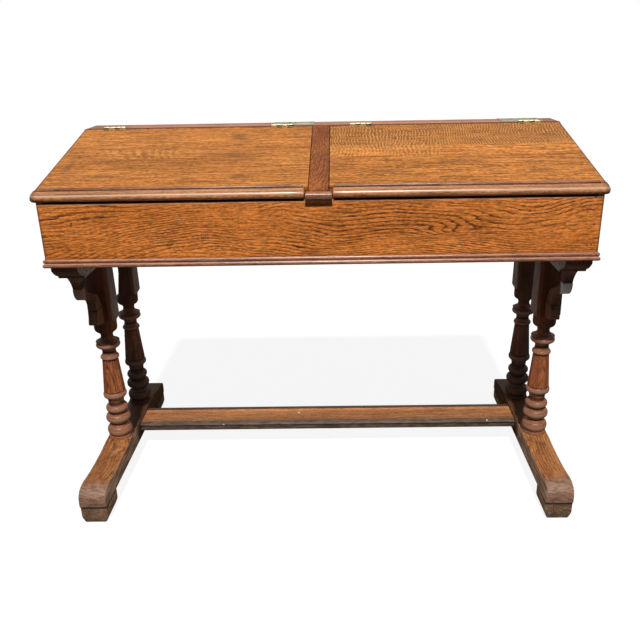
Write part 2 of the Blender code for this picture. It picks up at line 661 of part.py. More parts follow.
def leg_profile():
    """Turned profile of a leg from its top tenon down to its bottom tenon."""
    cup_top = foot_top + CUP_TOP
    neck = foot_top + NECK_HEIGHT
    seat = foot_top + CLEARANCE
    flare = (0.0285, foot_top + 0.2665)
    profile = [
        (0.0, leg_top + TENON_LENGTH),
        (TENON_RADIUS, leg_top + TENON_LENGTH),
        (TENON_RADIUS, cup_top),
        (CUP_RADIUS, cup_top),
    ]
    lip = (NECK_RADIUS + 0.003, cup_top - CUP_DEPTH)
    round_top = (CUP_RADIUS, cup_top - CUP_STRAIGHT)
    profile.append(round_top)
    profile += curve_points(round_top, (CUP_RADIUS, lip[1] + 0.001), lip, 4)
    profile.append((NECK_RADIUS, neck))
    profile += curve_points((NECK_RADIUS, neck), (NECK_RADIUS, flare[1] + 0.004), flare, 3)
    profile.append((0.0265, foot_top + 0.2650))
    profile += ring_points(0.2570, 0.0075, 0.0205, 0.0292)
    profile += curve_points(profile[-1], (0.0135, foot_top + 0.2390), (0.0200, foot_top + 0.2290), 4)
    profile += ring_points(0.2240, 0.0045, 0.0195, 0.0226)
    profile += [(SHAFT_TOP_RADIUS - 0.002, foot_top + SHAFT_TOP)]
    profile += [(SHAFT_BOTTOM_RADIUS - 0.003, foot_top + SHAFT_BOTTOM)]
    profile += ring_points(0.1215, 0.0085, SHAFT_BOTTOM_RADIUS - 0.002, 0.0288)
    profile += curve_points(profile[-1], (COVE_RADIUS, foot_top + 0.1110), (COVE_RADIUS, foot_top + 0.0985), 3)
    profile += ring_points(0.0825, 0.0090, 0.0200, 0.0272)
    profile.append((0.0205, foot_top + 0.0705))
    profile += ring_points(0.0555, 0.0120, 0.0205, 0.0304)
    profile.append((0.0200, foot_top + 0.0385))
    profile += ring_points(0.0205, 0.0125, 0.0230, 0.0306)
    profile += [
        (0.0290, foot_top + 0.0060),
        (0.0300, seat),
        (TENON_RADIUS, seat),
        (TENON_RADIUS, foot_top - TENON_LENGTH),
        (0.0, foot_top - TENON_LENGTH),
    ]
    return profile


def octagon(across, z, centre=(0.0, 0.0)):
    """Corners of a level octagon with a flat to the front, anticlockwise from above."""
    radius = across / 2 / math.cos(math.pi / 8)
    angles = [math.pi / 8 + i * math.pi / 4 for i in range(8)]
    return [(centre[0] + radius * math.cos(a), centre[1] + radius * math.sin(a), z) for a in angles]


def chamfered_square(across, chamfer, z):
    """Corners of a level square with its corners cut off, anticlockwise from above."""
    far = across / 2
    near = far - chamfer
    return [(far, -near, z), (far, near, z), (near, far, z), (-near, far, z),
            (-far, near, z), (-far, -near, z), (-near, -far, z), (near, -far, z)]


def make_legs():
    """Four legs: chamfered head drawn in to a cup, turned rings, and an eight-sided tapered shaft."""
    for side, sign in SIDES.items():
        for end, y in (("front", front_leg_y), ("back", back_leg_y)):
            name = side + "_" + end + "_leg"
            leg = turned(name, leg_profile(), LEG_SIDES, "oak_dark")
            cup_across = 1.9 * CUP_RADIUS
            mean_across = (cup_across + HEAD_LOW_ACROSS) / 2
            head = loft(name + "_head", [
                chamfered_square(cup_across, cup_across * 0.29, head_low - HEAD_SCOOP),
                chamfered_square(mean_across, mean_across * 0.22, head_low - HEAD_SCOOP * 0.6),
                chamfered_square(HEAD_LOW_ACROSS, HEAD_CHAMFER, head_low),
                chamfered_square(HEAD_TOP_ACROSS, HEAD_CHAMFER, leg_top),
            ])
            shaft = loft(name + "_shaft", [
                octagon(2 * SHAFT_BOTTOM_RADIUS, foot_top + SHAFT_BOTTOM - 0.002),
                octagon(2 * SHAFT_TOP_RADIUS, foot_top + SHAFT_TOP + 0.002),
            ])
            place = (sign * leg_x, y, 0.0)
            for piece in (leg, head, shaft):
                piece.location = place
            boolean(leg, head, "UNION")
            boolean(leg, shaft, "UNION")


def foot_outline():
    """Side of a foot rail: level under the legs, hollowed to a round toe, eased down to the heel."""
    toe = FOOT_LENGTH / 2
    seat_front = front_leg_y - FOOT_WIDTH / 2
    seat_back = back_leg_y + FOOT_WIDTH / 2
    shoulder = (-toe + TOE_ROUND * 1.6, foot_top - 0.002)
    face = foot_bottom + 0.016
    heel_face = foot_top - 0.027
    points = [(-toe + 0.004, foot_bottom), (toe - 0.003, foot_bottom), (toe, foot_bottom + 0.004), (toe, heel_face)]
    points += curve_points((toe, heel_face), (toe, foot_top - 0.015), (toe - 0.016, foot_top - 0.014), 4)
    points += curve_points(points[-1], (seat_back + 0.024, foot_top - 0.006), (seat_back, foot_top), 4)
    points.append((seat_front, foot_top))
    middle = ((shoulder[0] + seat_front) / 2, foot_top - 2 * FOOT_DIP)
    points += curve_points((seat_front, foot_top), middle, shoulder, 6)
    points += curve_points(shoulder, (-toe, shoulder[1]), (-toe, face), 6)
    points.append((-toe, foot_bottom + 0.006))
    return points


def make_feet():
    """Foot rails with their pads, and the stretcher tenoned between them."""
    stretcher_front = front_leg_y + STRETCHER_SETBACK
    stretcher_low = STRETCHER_TOP - STRETCHER_THICK
    for side, sign in SIDES.items():
        faces = (sign * leg_x - FOOT_WIDTH / 2, sign * leg_x + FOOT_WIDTH / 2)
        foot = outline(side + "_foot", foot_outline(), *faces, "X", "oak_red")
        edge = foot.modifiers.new("Edges", "BEVEL")
        edge.width = FOOT_EDGE
        edge.segments = 1
        edge.limit_method = "ANGLE"
        edge.angle_limit = math.radians(50)
        for end, y in (("front", front_leg_y), ("back", back_leg_y)):
            socket = rod(side + "_" + end + "_socket", (sign * leg_x, y, foot_top), TENON_RADIUS + CLEARANCE,
                         2 * (TENON_LENGTH + CLEARANCE), LEG_SIDES, "Z")
            boolean(foot, socket, "DIFFERENCE")
        inner = sign * (leg_x - FOOT_WIDTH / 2)
        deep = STRETCHER_TENON + CLEARANCE
        mortise_x = sorted((inner - sign * deep, inner + sign * deep))
        shoulder = STRETCHER_SHOULDER - CLEARANCE
        mortise = box(side + "_mortise", (mortise_x[0], stretcher_front + shoulder, stretcher_low + shoulder),
                      (mortise_x[1], stretcher_front + STRETCHER_WIDTH - shoulder, STRETCHER_TOP - shoulder))
        boolean(foot, mortise, "DIFFERENCE")
        for end, turn in (("front", -1), ("back", 1)):
            make_pad(side + "_" + end + "_pad", sign, turn)
    make_stretcher(stretcher_front, stretcher_low)


def make_pad(name, sign, turn):
    """Pad under a toe, its lower edges chamfered."""
    outer = turn * (FOOT_LENGTH / 2 - PAD_SETBACK)
    inner = outer - turn * PAD_LENGTH
    x_low = sign * leg_x - FOOT_WIDTH / 2 + CLEARANCE
    x_high = sign * leg_x + FOOT_WIDTH / 2 - CLEARANCE
    y_low, y_high = sorted((outer, inner))
    side, end = PAD_CHAMFER_SIDE, PAD_CHAMFER_END
    loft(name, [
        rectangle(x_low + side, x_high - side, y_low + end, y_high - end, 0.0),
        rectangle(x_low, x_high, y_low, y_high, PAD_CHAMFER_HEIGHT),
        rectangle(x_low, x_high, y_low, y_high, PAD_HEIGHT),
    ], "oak_red")


def make_stretcher(front, low):
    """Flat stretcher with a bead along its front edge and a stub tenon at each end."""
    back = front + STRETCHER_WIDTH
    bead_middle = STRETCHER_TOP - STRETCHER_BEAD * 0.75
    bead = arc_points((front + STRETCHER_BEAD / 2, bead_middle), (STRETCHER_BEAD / 2, STRETCHER_BEAD / 2), 90, 270, 5)
    shape = [(front + STRETCHER_BEAD / 2, low), (back, low), (back, STRETCHER_TOP),
             (front + STRETCHER_BEAD, STRETCHER_TOP)]
    shape += bead
    half = leg_x - FOOT_WIDTH / 2 - CLEARANCE
    stretcher = outline("stretcher", shape, -half, half, "X", "oak_red")
    shoulder = STRETCHER_SHOULDER
    reach = half + STRETCHER_TENON
    tenon = box("stretcher_tenon", (-reach, front + shoulder + STRETCHER_BEAD / 2, low + shoulder),
                (reach, back - shoulder, STRETCHER_TOP - shoulder - STRETCHER_BEAD / 4))
    boolean(stretcher, tenon, "UNION")


def bearer_outline():
    """Side of a bearer: its front end is moulded with a fillet, an ovolo and a lower fillet."""
    back = back_y - BEARER_BACK_INSET
    fillet_low = bearer_top - BEARER_FILLET
    quirk = (bearer_front + 0.0025, fillet_low - 0.0012)
    lower = (bearer_front + BEARER_DRAW - 0.004, bearer_bottom + 0.006)
    points = [(back, bearer_bottom), (back, bearer_top), (bearer_front, bearer_top)]
    points += [(bearer_front, fillet_low), (quirk[0], fillet_low), quirk]
    points += curve_points(quirk, (quirk[0] + 0.010, lower[1] + 0.006), lower, 5)
    points += [(lower[0] + 0.002, lower[1]), (bearer_front + BEARER_DRAW, bearer_bottom)]
    return points


def make_bearers():
    """Bearers under the box, which take the legs' top tenons."""
    for side, sign in SIDES.items():
        outer = box_half - BEARER_INSET
        faces = sorted((sign * outer, sign * (outer - BEARER_WIDTH)))
        bearer = outline(side + "_bearer", bearer_outline(), *faces, "X", "oak_dark")
        for end, y in (("front", front_leg_y), ("back", back_leg_y)):
            socket = rod(side + "_" + end + "_top_socket", (sign * leg_x, y, bearer_bottom),
                         TENON_RADIUS + CLEARANCE, 2 * (TENON_LENGTH + CLEARANCE), LEG_SIDES, "Z")
            boolean(bearer, socket, "DIFFERENCE")


def leg_face(z):
    """Depth of the front flat of a front leg's tapered head at a height, less the fitting clearance."""
    share = (z - head_low) / (leg_top - head_low)
    across = HEAD_LOW_ACROSS + (HEAD_TOP_ACROSS - HEAD_LOW_ACROSS) * share
    return front_leg_y - across / 2 - CLEARANCE


def console_outline():
    """Side of a console: hollow neck, round boss, stepped tail, and the open scroll behind them."""
    top = bearer_bottom - CLEARANCE
    low = top - CONSOLE_DROP
    face = leg_face(low)
    neck = face - CONSOLE_REACH
    throat = (neck + 0.0235, top - 0.0340)
    boss = (throat[0] - 0.0020, throat[1] - 0.0020)
    boss_low = (neck + 0.0445, top - 0.0670)
    waist = (face - 0.0530, top - 0.0800)
    step = (face - 0.0405, top - 0.1110)
    tail = (face - 0.0490, top - 0.1390)
    points = [(neck, top)]
    points += curve_points((neck, top), (throat[0] - 0.004, throat[1] + 0.016), throat, 5)
    points.append(boss)
    points += curve_points(boss, (boss[0] + 0.0005, boss_low[1] + 0.007), boss_low, 6)
    points.append(waist)
    points += curve_points(waist, (step[0] - 0.001, waist[1] - 0.004), step, 4)
    points.append((step[0] - 0.003, step[1] - 0.002))
    points += curve_points(points[-1], (step[0] - 0.0035, step[1] - 0.016), tail, 4)
    points += curve_points(tail, (tail[0], tail[1] - 0.007), (tail[0] + 0.008, tail[1] - 0.008), 3)
    points += [(tail[0] + 0.028, low + 0.003), (face, low)]
    heel_z = low + 0.043
    points.append((leg_face(heel_z), heel_z))
    back = [(face - 0.010, top - 0.0990), (face - 0.020, top - 0.0805), (face - 0.031, top - 0.0725)]
    points += back
    hook = (neck + 0.044, top - 0.0400)
    points += curve_points(back[-1], (hook[0] + 0.004, top - 0.0530), hook, 6)
    points += curve_points(hook, (hook[0] - 0.001, top - 0.020), (neck + CONSOLE_NECK, top), 4)
    return points


def make_consoles():
    """Sawn console brackets, from the front legs forward under the bearers' moulded ends."""
    for side, sign in SIDES.items():
        faces = (sign * leg_x - CONSOLE_THICK / 2, sign * leg_x + CONSOLE_THICK / 2)
        outline(side + "_console", console_outline(), *faces, "X", "oak_dark")


for leftover in list(bpy.data.objects):
    bpy.data.objects.remove(leftover)
parts = bpy.data.collections.new("double_school_desk")
cutters = bpy.data.collections.new("cutters")
for group in (parts, cutters):
    bpy.context.scene.collection.children.link(group)
leaf_shapes = {}
for first_knuckle in (0, 1):
    leaf_shapes["fixed", first_knuckle] = leaf_mesh("fixed_leaf", 1, first_knuckle)
    leaf_shapes["moving", first_knuckle] = leaf_mesh("moving_leaf", -1, first_knuckle)
make_box()
make_mouldings()
make_ledge()
make_lids()
make_inkwells()
make_bearers()
make_consoles()
make_legs()
make_feet()
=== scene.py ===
"""Looks of the double school desk: worn oak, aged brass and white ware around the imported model.

Metres, +Z up, -Y towards the pupils. Each new piece is a grid of points worked out with numpy.
"""
import math

import bpy
import numpy as np
from mathutils import Matrix


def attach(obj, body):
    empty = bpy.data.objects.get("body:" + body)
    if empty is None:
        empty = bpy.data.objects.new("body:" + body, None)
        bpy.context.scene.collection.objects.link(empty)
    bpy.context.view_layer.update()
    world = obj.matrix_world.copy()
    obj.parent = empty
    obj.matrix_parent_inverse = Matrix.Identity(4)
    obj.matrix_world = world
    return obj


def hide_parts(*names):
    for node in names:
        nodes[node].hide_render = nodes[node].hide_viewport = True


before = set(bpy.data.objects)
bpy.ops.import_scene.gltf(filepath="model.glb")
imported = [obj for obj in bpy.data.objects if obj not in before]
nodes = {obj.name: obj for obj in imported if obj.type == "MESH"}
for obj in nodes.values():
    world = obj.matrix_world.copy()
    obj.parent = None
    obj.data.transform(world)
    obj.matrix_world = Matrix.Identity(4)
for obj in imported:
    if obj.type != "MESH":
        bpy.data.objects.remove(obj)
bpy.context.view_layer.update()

# Box, lids and hinges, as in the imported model
CLEARANCE = 0.0003
SIDES = {"left": -1, "right": 1}
BOX_FRONT = -0.2517
BOX_BACK = 0.1943
BOX_HALF = 0.5655
BOX_LOW = 0.6055
LEDGE_TOP = 0.8428
LID_SLOPE = math.radians(13.0)
LID_BOARD = 0.017
LID_MIDDLE = 0.29575
LID_DEPTHS = (-0.262, 0.108)
HINGE_Y = 0.107
HINGE_SPREAD = 0.2015
HINGE_LENGTH = 0.052
KNUCKLE_Z = 0.8459
KNUCKLE_RADIUS = 0.003
KNUCKLE_PITCH = HINGE_LENGTH / 4
KNUCKLE_GAP = 0.0002
LEAF_THICK = 0.0014
LEAF_DROP = 0.012
LEAF_UNDER_KNUCKLE = 0.0032
LEAF_NECK = (0.0040, 0.0020)
PIN_HEAD_RADIUS = 0.0023
PIN_HEAD_LENGTH = 0.0012

# Nosings, pen stops and the ends of the slot under them
NOSING_OVERHANG = 0.0080
NOSING_DEPTH = 0.024
NOSING_ENDS = (0.029, 0.572)
NOSING_ROUND = 0.027
NOSING_DRAW = 0.002
NOSING_SWAY = 0.0003
STOP_RADIUS = 0.0035
STOP_SET_BACK = 0.0018
STOP_ENDS = (0.031, 0.5597)
SLOT_END_Y = (BOX_FRONT + 0.0004, BOX_FRONT + 0.0176)
SLOT_END_X = (BOX_HALF - 0.0125, BOX_HALF - 0.0002)
SLOT_END_LOW = 0.7358
SLOT_END_GAP = 0.0006

# Ink fittings
INK_X = {"left": -0.0915, "right": 0.462}
INK_Y = 0.15365
POT_HEIGHT = 0.038
POT_RADIUS = 0.0205
POT_BORE = 0.0165
POT_FLOOR = 0.004
POT_LIP = (0.0245, 0.0015, 0.00125)
PLATE_THICK = 0.0008
PLATE_SCREW = (0.064, 0.016)

# Trestle ends and stretcher
LEG_X = 0.5345
LEG_Y = {"front": -0.0428, "back": 0.1534}
LEG_TOP = 0.5697
HEAD_LOW = 0.4145
HEAD_HALF = 0.0305
HEAD_TAPER = 0.0015
HEAD_CHAMFER = (0.0160, 0.0090)
SCOOP_LOW = 0.4045
CUP_RADIUS = 0.0275
CUT_FULL = 0.475
LEFT_BACK_CUT = 0.70
CONSOLE_HALF = 0.0105
CONSOLE_DROP = 0.155
CONSOLE_REACH = 0.134
FOOT_TOP = 0.0885
FOOT_LOW = 0.0388
FOOT_HALF = 0.031
FOOT_REACH = 0.294
PAD_HALF = (0.0307, 0.040)
PAD_DRAW = (0.0060, 0.0020)
PAD_Y = 0.2505
STRETCHER_Y = (LEG_Y["front"] + 0.0705, LEG_Y["front"] + 0.1605)
STRETCHER_Z = (0.056, 0.079)
STRETCHER_BEAD = 0.0035
STRETCHER_BEAD_Z = 0.07375

# Rings of a turned leg: height, half height, radius at the root and at the edge, half height of the worn band
RINGS = {
    "foot": (0.1090, 0.0125, 0.0230, 0.0306, 0.0070),
    "lower": (0.1440, 0.0120, 0.0205, 0.0304, 0.0070),
    "middle": (0.1710, 0.0090, 0.0200, 0.0272, 0.0060),
    "upper": (0.2100, 0.0085, 0.0225, 0.0288, 0.0060),
    "neck": (0.3125, 0.0045, 0.0195, 0.0226, 0.0030),
    "collar": (0.3455, 0.0075, 0.0205, 0.0292, 0.0060),
}
# Coves between the rings: height and half height
COVES = ((0.1275, 0.0030), (0.1580, 0.0030), (0.1860, 0.0070), (0.2190, 0.0020), (0.3070, 0.0025),
         (0.3270, 0.0060))


def quads(rows, columns, first):
    """Corner numbers of a grid's faces: (i, j), (i, j+1), (i+1, j+1) and (i+1, j), columns closing."""
    i, j = np.meshgrid(np.arange(rows - 1), np.arange(columns), indexing="ij")
    k = (j + 1) % columns
    low, high = i * columns, (i + 1) * columns
    return first + np.stack((low + j, low + k, high + k, high + j), axis=-1).reshape(-1, 4)


def piece(name, grids, finish, body, stands_for, crease=35.0):
    """A closed piece from grids of points, each closed round its columns and capped at both ends.

    Faces point outwards where the rings run anticlockwise.
    """
    points, faces, first = [], [], 0
    for grid in grids:
        rows, columns = grid.shape[:2]
        points.append(grid.reshape(-1, 3))
        faces += quads(rows, columns, first).tolist()
        last = first + (rows - 1) * columns
        faces.append(np.arange(first + columns - 1, first - 1, -1).tolist())
        faces.append(np.arange(last, last + columns).tolist())
        first += rows * columns
    mesh = bpy.data.meshes.new(name)
    mesh.from_pydata(np.concatenate(points).tolist(), [], faces)
    mesh.shade_smooth()
    mesh.set_sharp_from_angle(angle=math.radians(crease))
    mesh.materials.append(finish)
    made = bpy.data.objects.new(name, mesh)
    bpy.context.scene.collection.objects.link(made)
    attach(made, body)
    if stands_for:
        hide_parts(*stands_for)


def joined(*parts):
    """Several runs of points as one."""
    return np.concatenate([np.asarray(part, float) for part in parts])


def drawn(start, pull, end, count):
    """Quadratic curve (1-t)^2 start + 2t(1-t) pull + t^2 end, as count points that leave the start out."""
    t = np.linspace(0.0, 1.0, count + 1)[1:, None]
    start, pull, end = (np.asarray(p, float)[None, :] for p in (start, pull, end))
    return (1 - t) ** 2 * start + 2 * t * (1 - t) * pull + t ** 2 * end


def arc(centre, radii, first, last, count):
    """Elliptical arc: centre plus the radii times cosine and sine of an angle from first to last."""
    angle = np.radians(np.linspace(first, last, count))
    return np.stack((centre[0] + radii[0] * np.cos(angle), centre[1] + radii[1] * np.sin(angle)), axis=-1)


def eased(corners, radius, steps=5):
    """An outline with its sharp corners rounded, and its outward directions if it runs anticlockwise.

    A corner p between the directions a and b becomes the quadratic curve from p - ta to p + tb drawn to p,
    where t is the radius times the tangent of half the turn, held under 0.45 of the shorter side.
    The outward direction is the tangent (1-s)a + sb turned back by a right angle.
    """
    p = np.asarray(corners, float)
    before, after = p - np.roll(p, 1, 0), np.roll(p, -1, 0) - p
    before_long, after_long = np.linalg.norm(before, axis=1), np.linalg.norm(after, axis=1)
    a, b = before / before_long[:, None], after / after_long[:, None]
    turn = np.abs(np.arctan2(a[:, 0] * b[:, 1] - a[:, 1] * b[:, 0], (a * b).sum(1)))
    sharp = turn > math.radians(18)
    cut = np.minimum(radius * np.tan(turn / 2), 0.45 * np.minimum(before_long, after_long)) * sharp
    count = np.where(sharp, steps, 1)
    corner = np.repeat(np.arange(len(p)), count)
    rank = np.arange(len(corner)) - np.repeat(np.cumsum(count) - count, count)
    s = np.where(sharp[corner], rank / (steps - 1), 0.5)[:, None]
    p, a, b, cut = p[corner], a[corner], b[corner], cut[corner][:, None]
    points = (1 - s) ** 2 * (p - a * cut) + 2 * s * (1 - s) * p + s ** 2 * (p + b * cut)
    tangent = (1 - s) * a + s * b
    tangent /= np.linalg.norm(tangent, axis=1, keepdims=True)
    return points, np.stack((tangent[:, 1], -tangent[:, 0]), axis=-1)


def oblong(across, up, radius, steps=5):
    """An eased four-cornered outline between two limits across and two limits up."""
    corners = [(across[0], up[0]), (across[1], up[0]), (across[1], up[1]), (across[0], up[1])]
    return eased(corners, radius, steps)


def carried(flat, place, along):
    """Flat rings set along an axis: drawn in Y and Z along X, Z and X along Y, X and Y along Z."""
    u, v = flat[..., 0], flat[..., 1]
    w = np.broadcast_to(np.asarray(place)[:, None], u.shape)
    order = {"X": (w, u, v), "Y": (v, w, u), "Z": (u, v, w)}[along]
    return np.stack(order, axis=-1)


def board(outline, start, end, along, ease, steps=4, middle=0, sway=0.0):
    """An outline carried along an axis with eased ends.

    For v from 0 to a right angle the ring is drawn in by ease (1 - sin v), ease (1 - cos v) from the end.
    The middle rows may sway by a slow double sine, as hand-planed stock does.
    """
    ring, outward = outline
    v = np.linspace(0.0, math.pi / 2, steps)
    inset, step = ease * (1 - np.sin(v)), ease * (1 - np.cos(v))
    inner = np.linspace(start + ease, end - ease, middle + 2)[1:-1]
    place = np.concatenate((start + step, inner, (end - step)[::-1]))
    drop = np.concatenate((inset, inner * 0.0, inset[::-1]))
    bow = sway * (np.sin(place * 23.0) + 0.6 * np.sin(place * 57.0 + 1.3)) / 1.6
    flat = ring[None] - outward[None] * (drop + np.abs(bow))[:, None, None]
    return carried(flat, place, along)


def turned(profile, centre, columns=48, axis="Z"):
    """A profile of radius and place, turned: radius times cosine and sine of the column's angle."""
    profile = np.asarray(profile, float)
    angle = np.linspace(0.0, 2 * math.pi, columns, endpoint=False)
    flat = profile[:, 0, None, None] * np.stack((np.cos(angle), np.sin(angle)), axis=-1)[None]
    return carried(flat, profile[:, 1], axis) + np.asarray(centre, float)


def rod(start, end, radius, ease=0.0004):
    """A round bar with eased ends on the line of the hinge pins."""
    profile = [(radius - ease, start), (radius - ease * 0.3, start + ease * 0.3), (radius, start + ease),
               (radius, end - ease), (radius - ease * 0.3, end - ease * 0.3), (radius - ease, end)]
    return turned(profile, (0.0, HINGE_Y, KNUCKLE_Z), 28, "X")


def on_lid(section):
    """Depth and height of points given by their run down the lids' slope and rise square to it."""
    run, rise = section[:, 0], section[:, 1]
    y = HINGE_Y - run * math.cos(LID_SLOPE) - rise * math.sin(LID_SLOPE)
    z = LEDGE_TOP - run * math.sin(LID_SLOPE) + rise * math.cos(LID_SLOPE)
    return np.stack((y, z), axis=-1)


def lid_height(y):
    """Height of the lids' upper face: the ledge's, less the distance from the hinge times the slope."""
    return LEDGE_TOP - (HINGE_Y - y) * math.tan(LID_SLOPE)


def hinge_places():
    """Each hinge's side, number, middle and left ends of its fixed and moving knuckles, which take turns."""
    for side, sign in SIDES.items():
        for number, offset in enumerate((-HINGE_SPREAD, HINGE_SPREAD), 1):
            middle = sign * LID_MIDDLE + offset
            lefts = middle - HINGE_LENGTH / 2 + KNUCKLE_PITCH * np.arange(4)
            first = 0 if abs(middle) > LID_MIDDLE else 1
            yield side, number, middle, {"fixed": lefts[first::2], "moving": lefts[1 - first::2]}


class Nodes:
    """A node tree and the short ways to build it."""

    def __init__(self, tree):
        self.tree = tree

    def put(self, socket, value):
        """Link a socket to another, or set its value."""
        if isinstance(value, bpy.types.NodeSocket):
            self.tree.links.new(value, socket)
        else:
            socket.default_value = value

    def node(self, kind, inputs=(), **settings):
        """A node with its settings, and its inputs linked or set."""
        made = self.tree.nodes.new(kind)
        for key, value in settings.items():
            setattr(made, key, value)
        for key, value in dict(inputs).items():
            self.put(made.inputs[key], value)
        return made

    def maths(self, operation, first, second=0.0, third=0.0):
        """One step of arithmetic."""
        return self.node("ShaderNodeMath", {0: first, 1: second, 2: third}, operation=operation).outputs[0]


class Finish(Nodes):
    """The node tree of one finish, built on the piece's own coordinates."""

    def __init__(self, name, **constants):
        self.material = bpy.data.materials.new(name)
        self.material.use_nodes = True
        super().__init__(self.material.node_tree)
        self.surface = self.tree.nodes["Principled BSDF"]
        self.place = self.node("ShaderNodeTexCoord").outputs["Object"]
        self.x, self.y, self.z = self.parts(self.place)
        for socket, value in constants.items():
            self.give(socket.replace("_", " "), value)

    def give(self, socket, value):
        """Link or set one of the surface's sockets."""
        self.put(self.surface.inputs[socket], value)

    def parts(self, vector):
        """The three coordinates of a vector."""
        made = self.node("ShaderNodeSeparateXYZ", {"Vector": vector})
        return made.outputs[0], made.outputs[1], made.outputs[2]

    def away(self):
        """Distance from the desk's middle, left or right."""
        return self.maths("ABSOLUTE", self.x)

    def moved(self, vector, scale=(1, 1, 1), shift=(0, 0, 0), turn=(0, 0, 0)):
        """The vector turned, scaled and shifted."""
        inputs = {"Vector": vector, "Scale": scale, "Location": shift, "Rotation": turn}
        return self.node("ShaderNodeMapping", inputs).outputs["Vector"]

    def noise(self, scale, detail=2.0, roughness=0.5, distortion=0.0, vector=None, shift=(0, 0, 0),
              turn=(0, 0, 0)):
        """Smooth noise on the piece's coordinates or a vector, with one scale or one for each axis."""
        scale = scale if isinstance(scale, tuple) else (scale, scale, scale)
        source = self.place if vector is None else vector
        inputs = {"Vector": self.moved(source, scale, shift, turn), "Scale": 1.0, "Detail": detail,
                  "Roughness": roughness, "Distortion": distortion}
        return self.node("ShaderNodeTexNoise", inputs).outputs["Fac"]

    def scaled(self, value, by, plus):
        """The value times one number or value, plus another."""
        return self.maths("MULTIPLY_ADD", value, by, plus)

    def ragged(self, value, scale, by, detail=2.0):
        """The value plus noise times a length, for an edge that wanders."""
        return self.scaled(self.noise(scale, detail), by, value)

    def times(self, *values):
        """The product of several values."""
        product = values[0]
        for value in values[1:]:
            product = self.maths("MULTIPLY", product, value)
        return product

    def span(self, value, low, high, smooth=True):
        """The value taken from low..high to 0..1, eased and held at the ends."""
        kind = "SMOOTHSTEP" if smooth else "LINEAR"
        inputs = {"Value": value, "From Min": low, "From Max": high, "To Min": 0.0, "To Max": 1.0}
        return self.node("ShaderNodeMapRange", inputs, interpolation_type=kind).outputs["Result"]

    def within(self, value, low, high, edge):
        """1 where the value lies between two limits, eased over an edge outside them."""
        return self.times(self.span(value, low - edge, low), self.span(value, high + edge, high))

    def patch(self, centre, reach, turn=(0.0, 0.0, 0.0), ragged=0.35, soft=0.5, grit=160.0):
        """1 inside a ragged oval about a point, given by its half axes, eased to 0 outside."""
        inputs = {"Vector": self.place, "Location": centre, "Rotation": turn, "Scale": reach}
        local = self.node("ShaderNodeMapping", inputs, vector_type="TEXTURE").outputs["Vector"]
        apart = self.node("ShaderNodeVectorMath", {0: local}, operation="LENGTH").outputs["Value"]
        rough = self.scaled(self.noise(grit, 3.0, 0.6), ragged * 2, -ragged)
        return self.span(self.maths("ADD", apart, rough), 1.0, 1.0 - soft)

    def ramp(self, value, stops):
        """Grey steps along the value: (place, grey) pairs."""
        made = self.node("ShaderNodeValToRGB", {"Fac": value})
        band = made.color_ramp
        for number, (place, grey) in enumerate(stops):
            stop = band.elements[number] if number < 2 else band.elements.new(place)
            stop.position = place
            stop.color = (grey, grey, grey, 1.0)
        return made.outputs["Color"]

    def mix(self, factor, first, second, blend="MIX"):
        """Two colours mixed by a factor."""
        made = self.node("ShaderNodeMix", data_type="RGBA", blend_type=blend)
        self.put(made.inputs[0], factor)
        for place, value in ((6, first), (7, second)):
            self.put(made.inputs[place], value if isinstance(value, bpy.types.NodeSocket) else (*value, 1.0))
        return made.outputs[2]

    def over(self, colour, tint, *masks):
        """The colour with a tint laid over it, as deep as the product of the masks."""
        return self.mix(self.times(*masks), colour, tint)

    def toned(self, colour, level):
        """The colour made lighter or darker by a level."""
        return self.mix(1.0, colour, level, "MULTIPLY")

    def bump(self, height, strength, distance):
        """Relief from a height."""
        inputs = {"Height": height, "Strength": strength, "Distance": distance}
        self.give("Normal", self.node("ShaderNodeBump", inputs).outputs["Normal"])


GRAIN_TURN = {"X": (0.0, 0.0, 0.0), "Y": (0.0, 0.0, -math.pi / 2), "Z": (0.0, math.pi / 2, 0.0)}
GROWTH_LINE = ((0.0, 1.0), (0.13, 0.90), (0.24, 0.42), (0.42, 0.05), (0.93, 0.02), (1.0, 1.0))


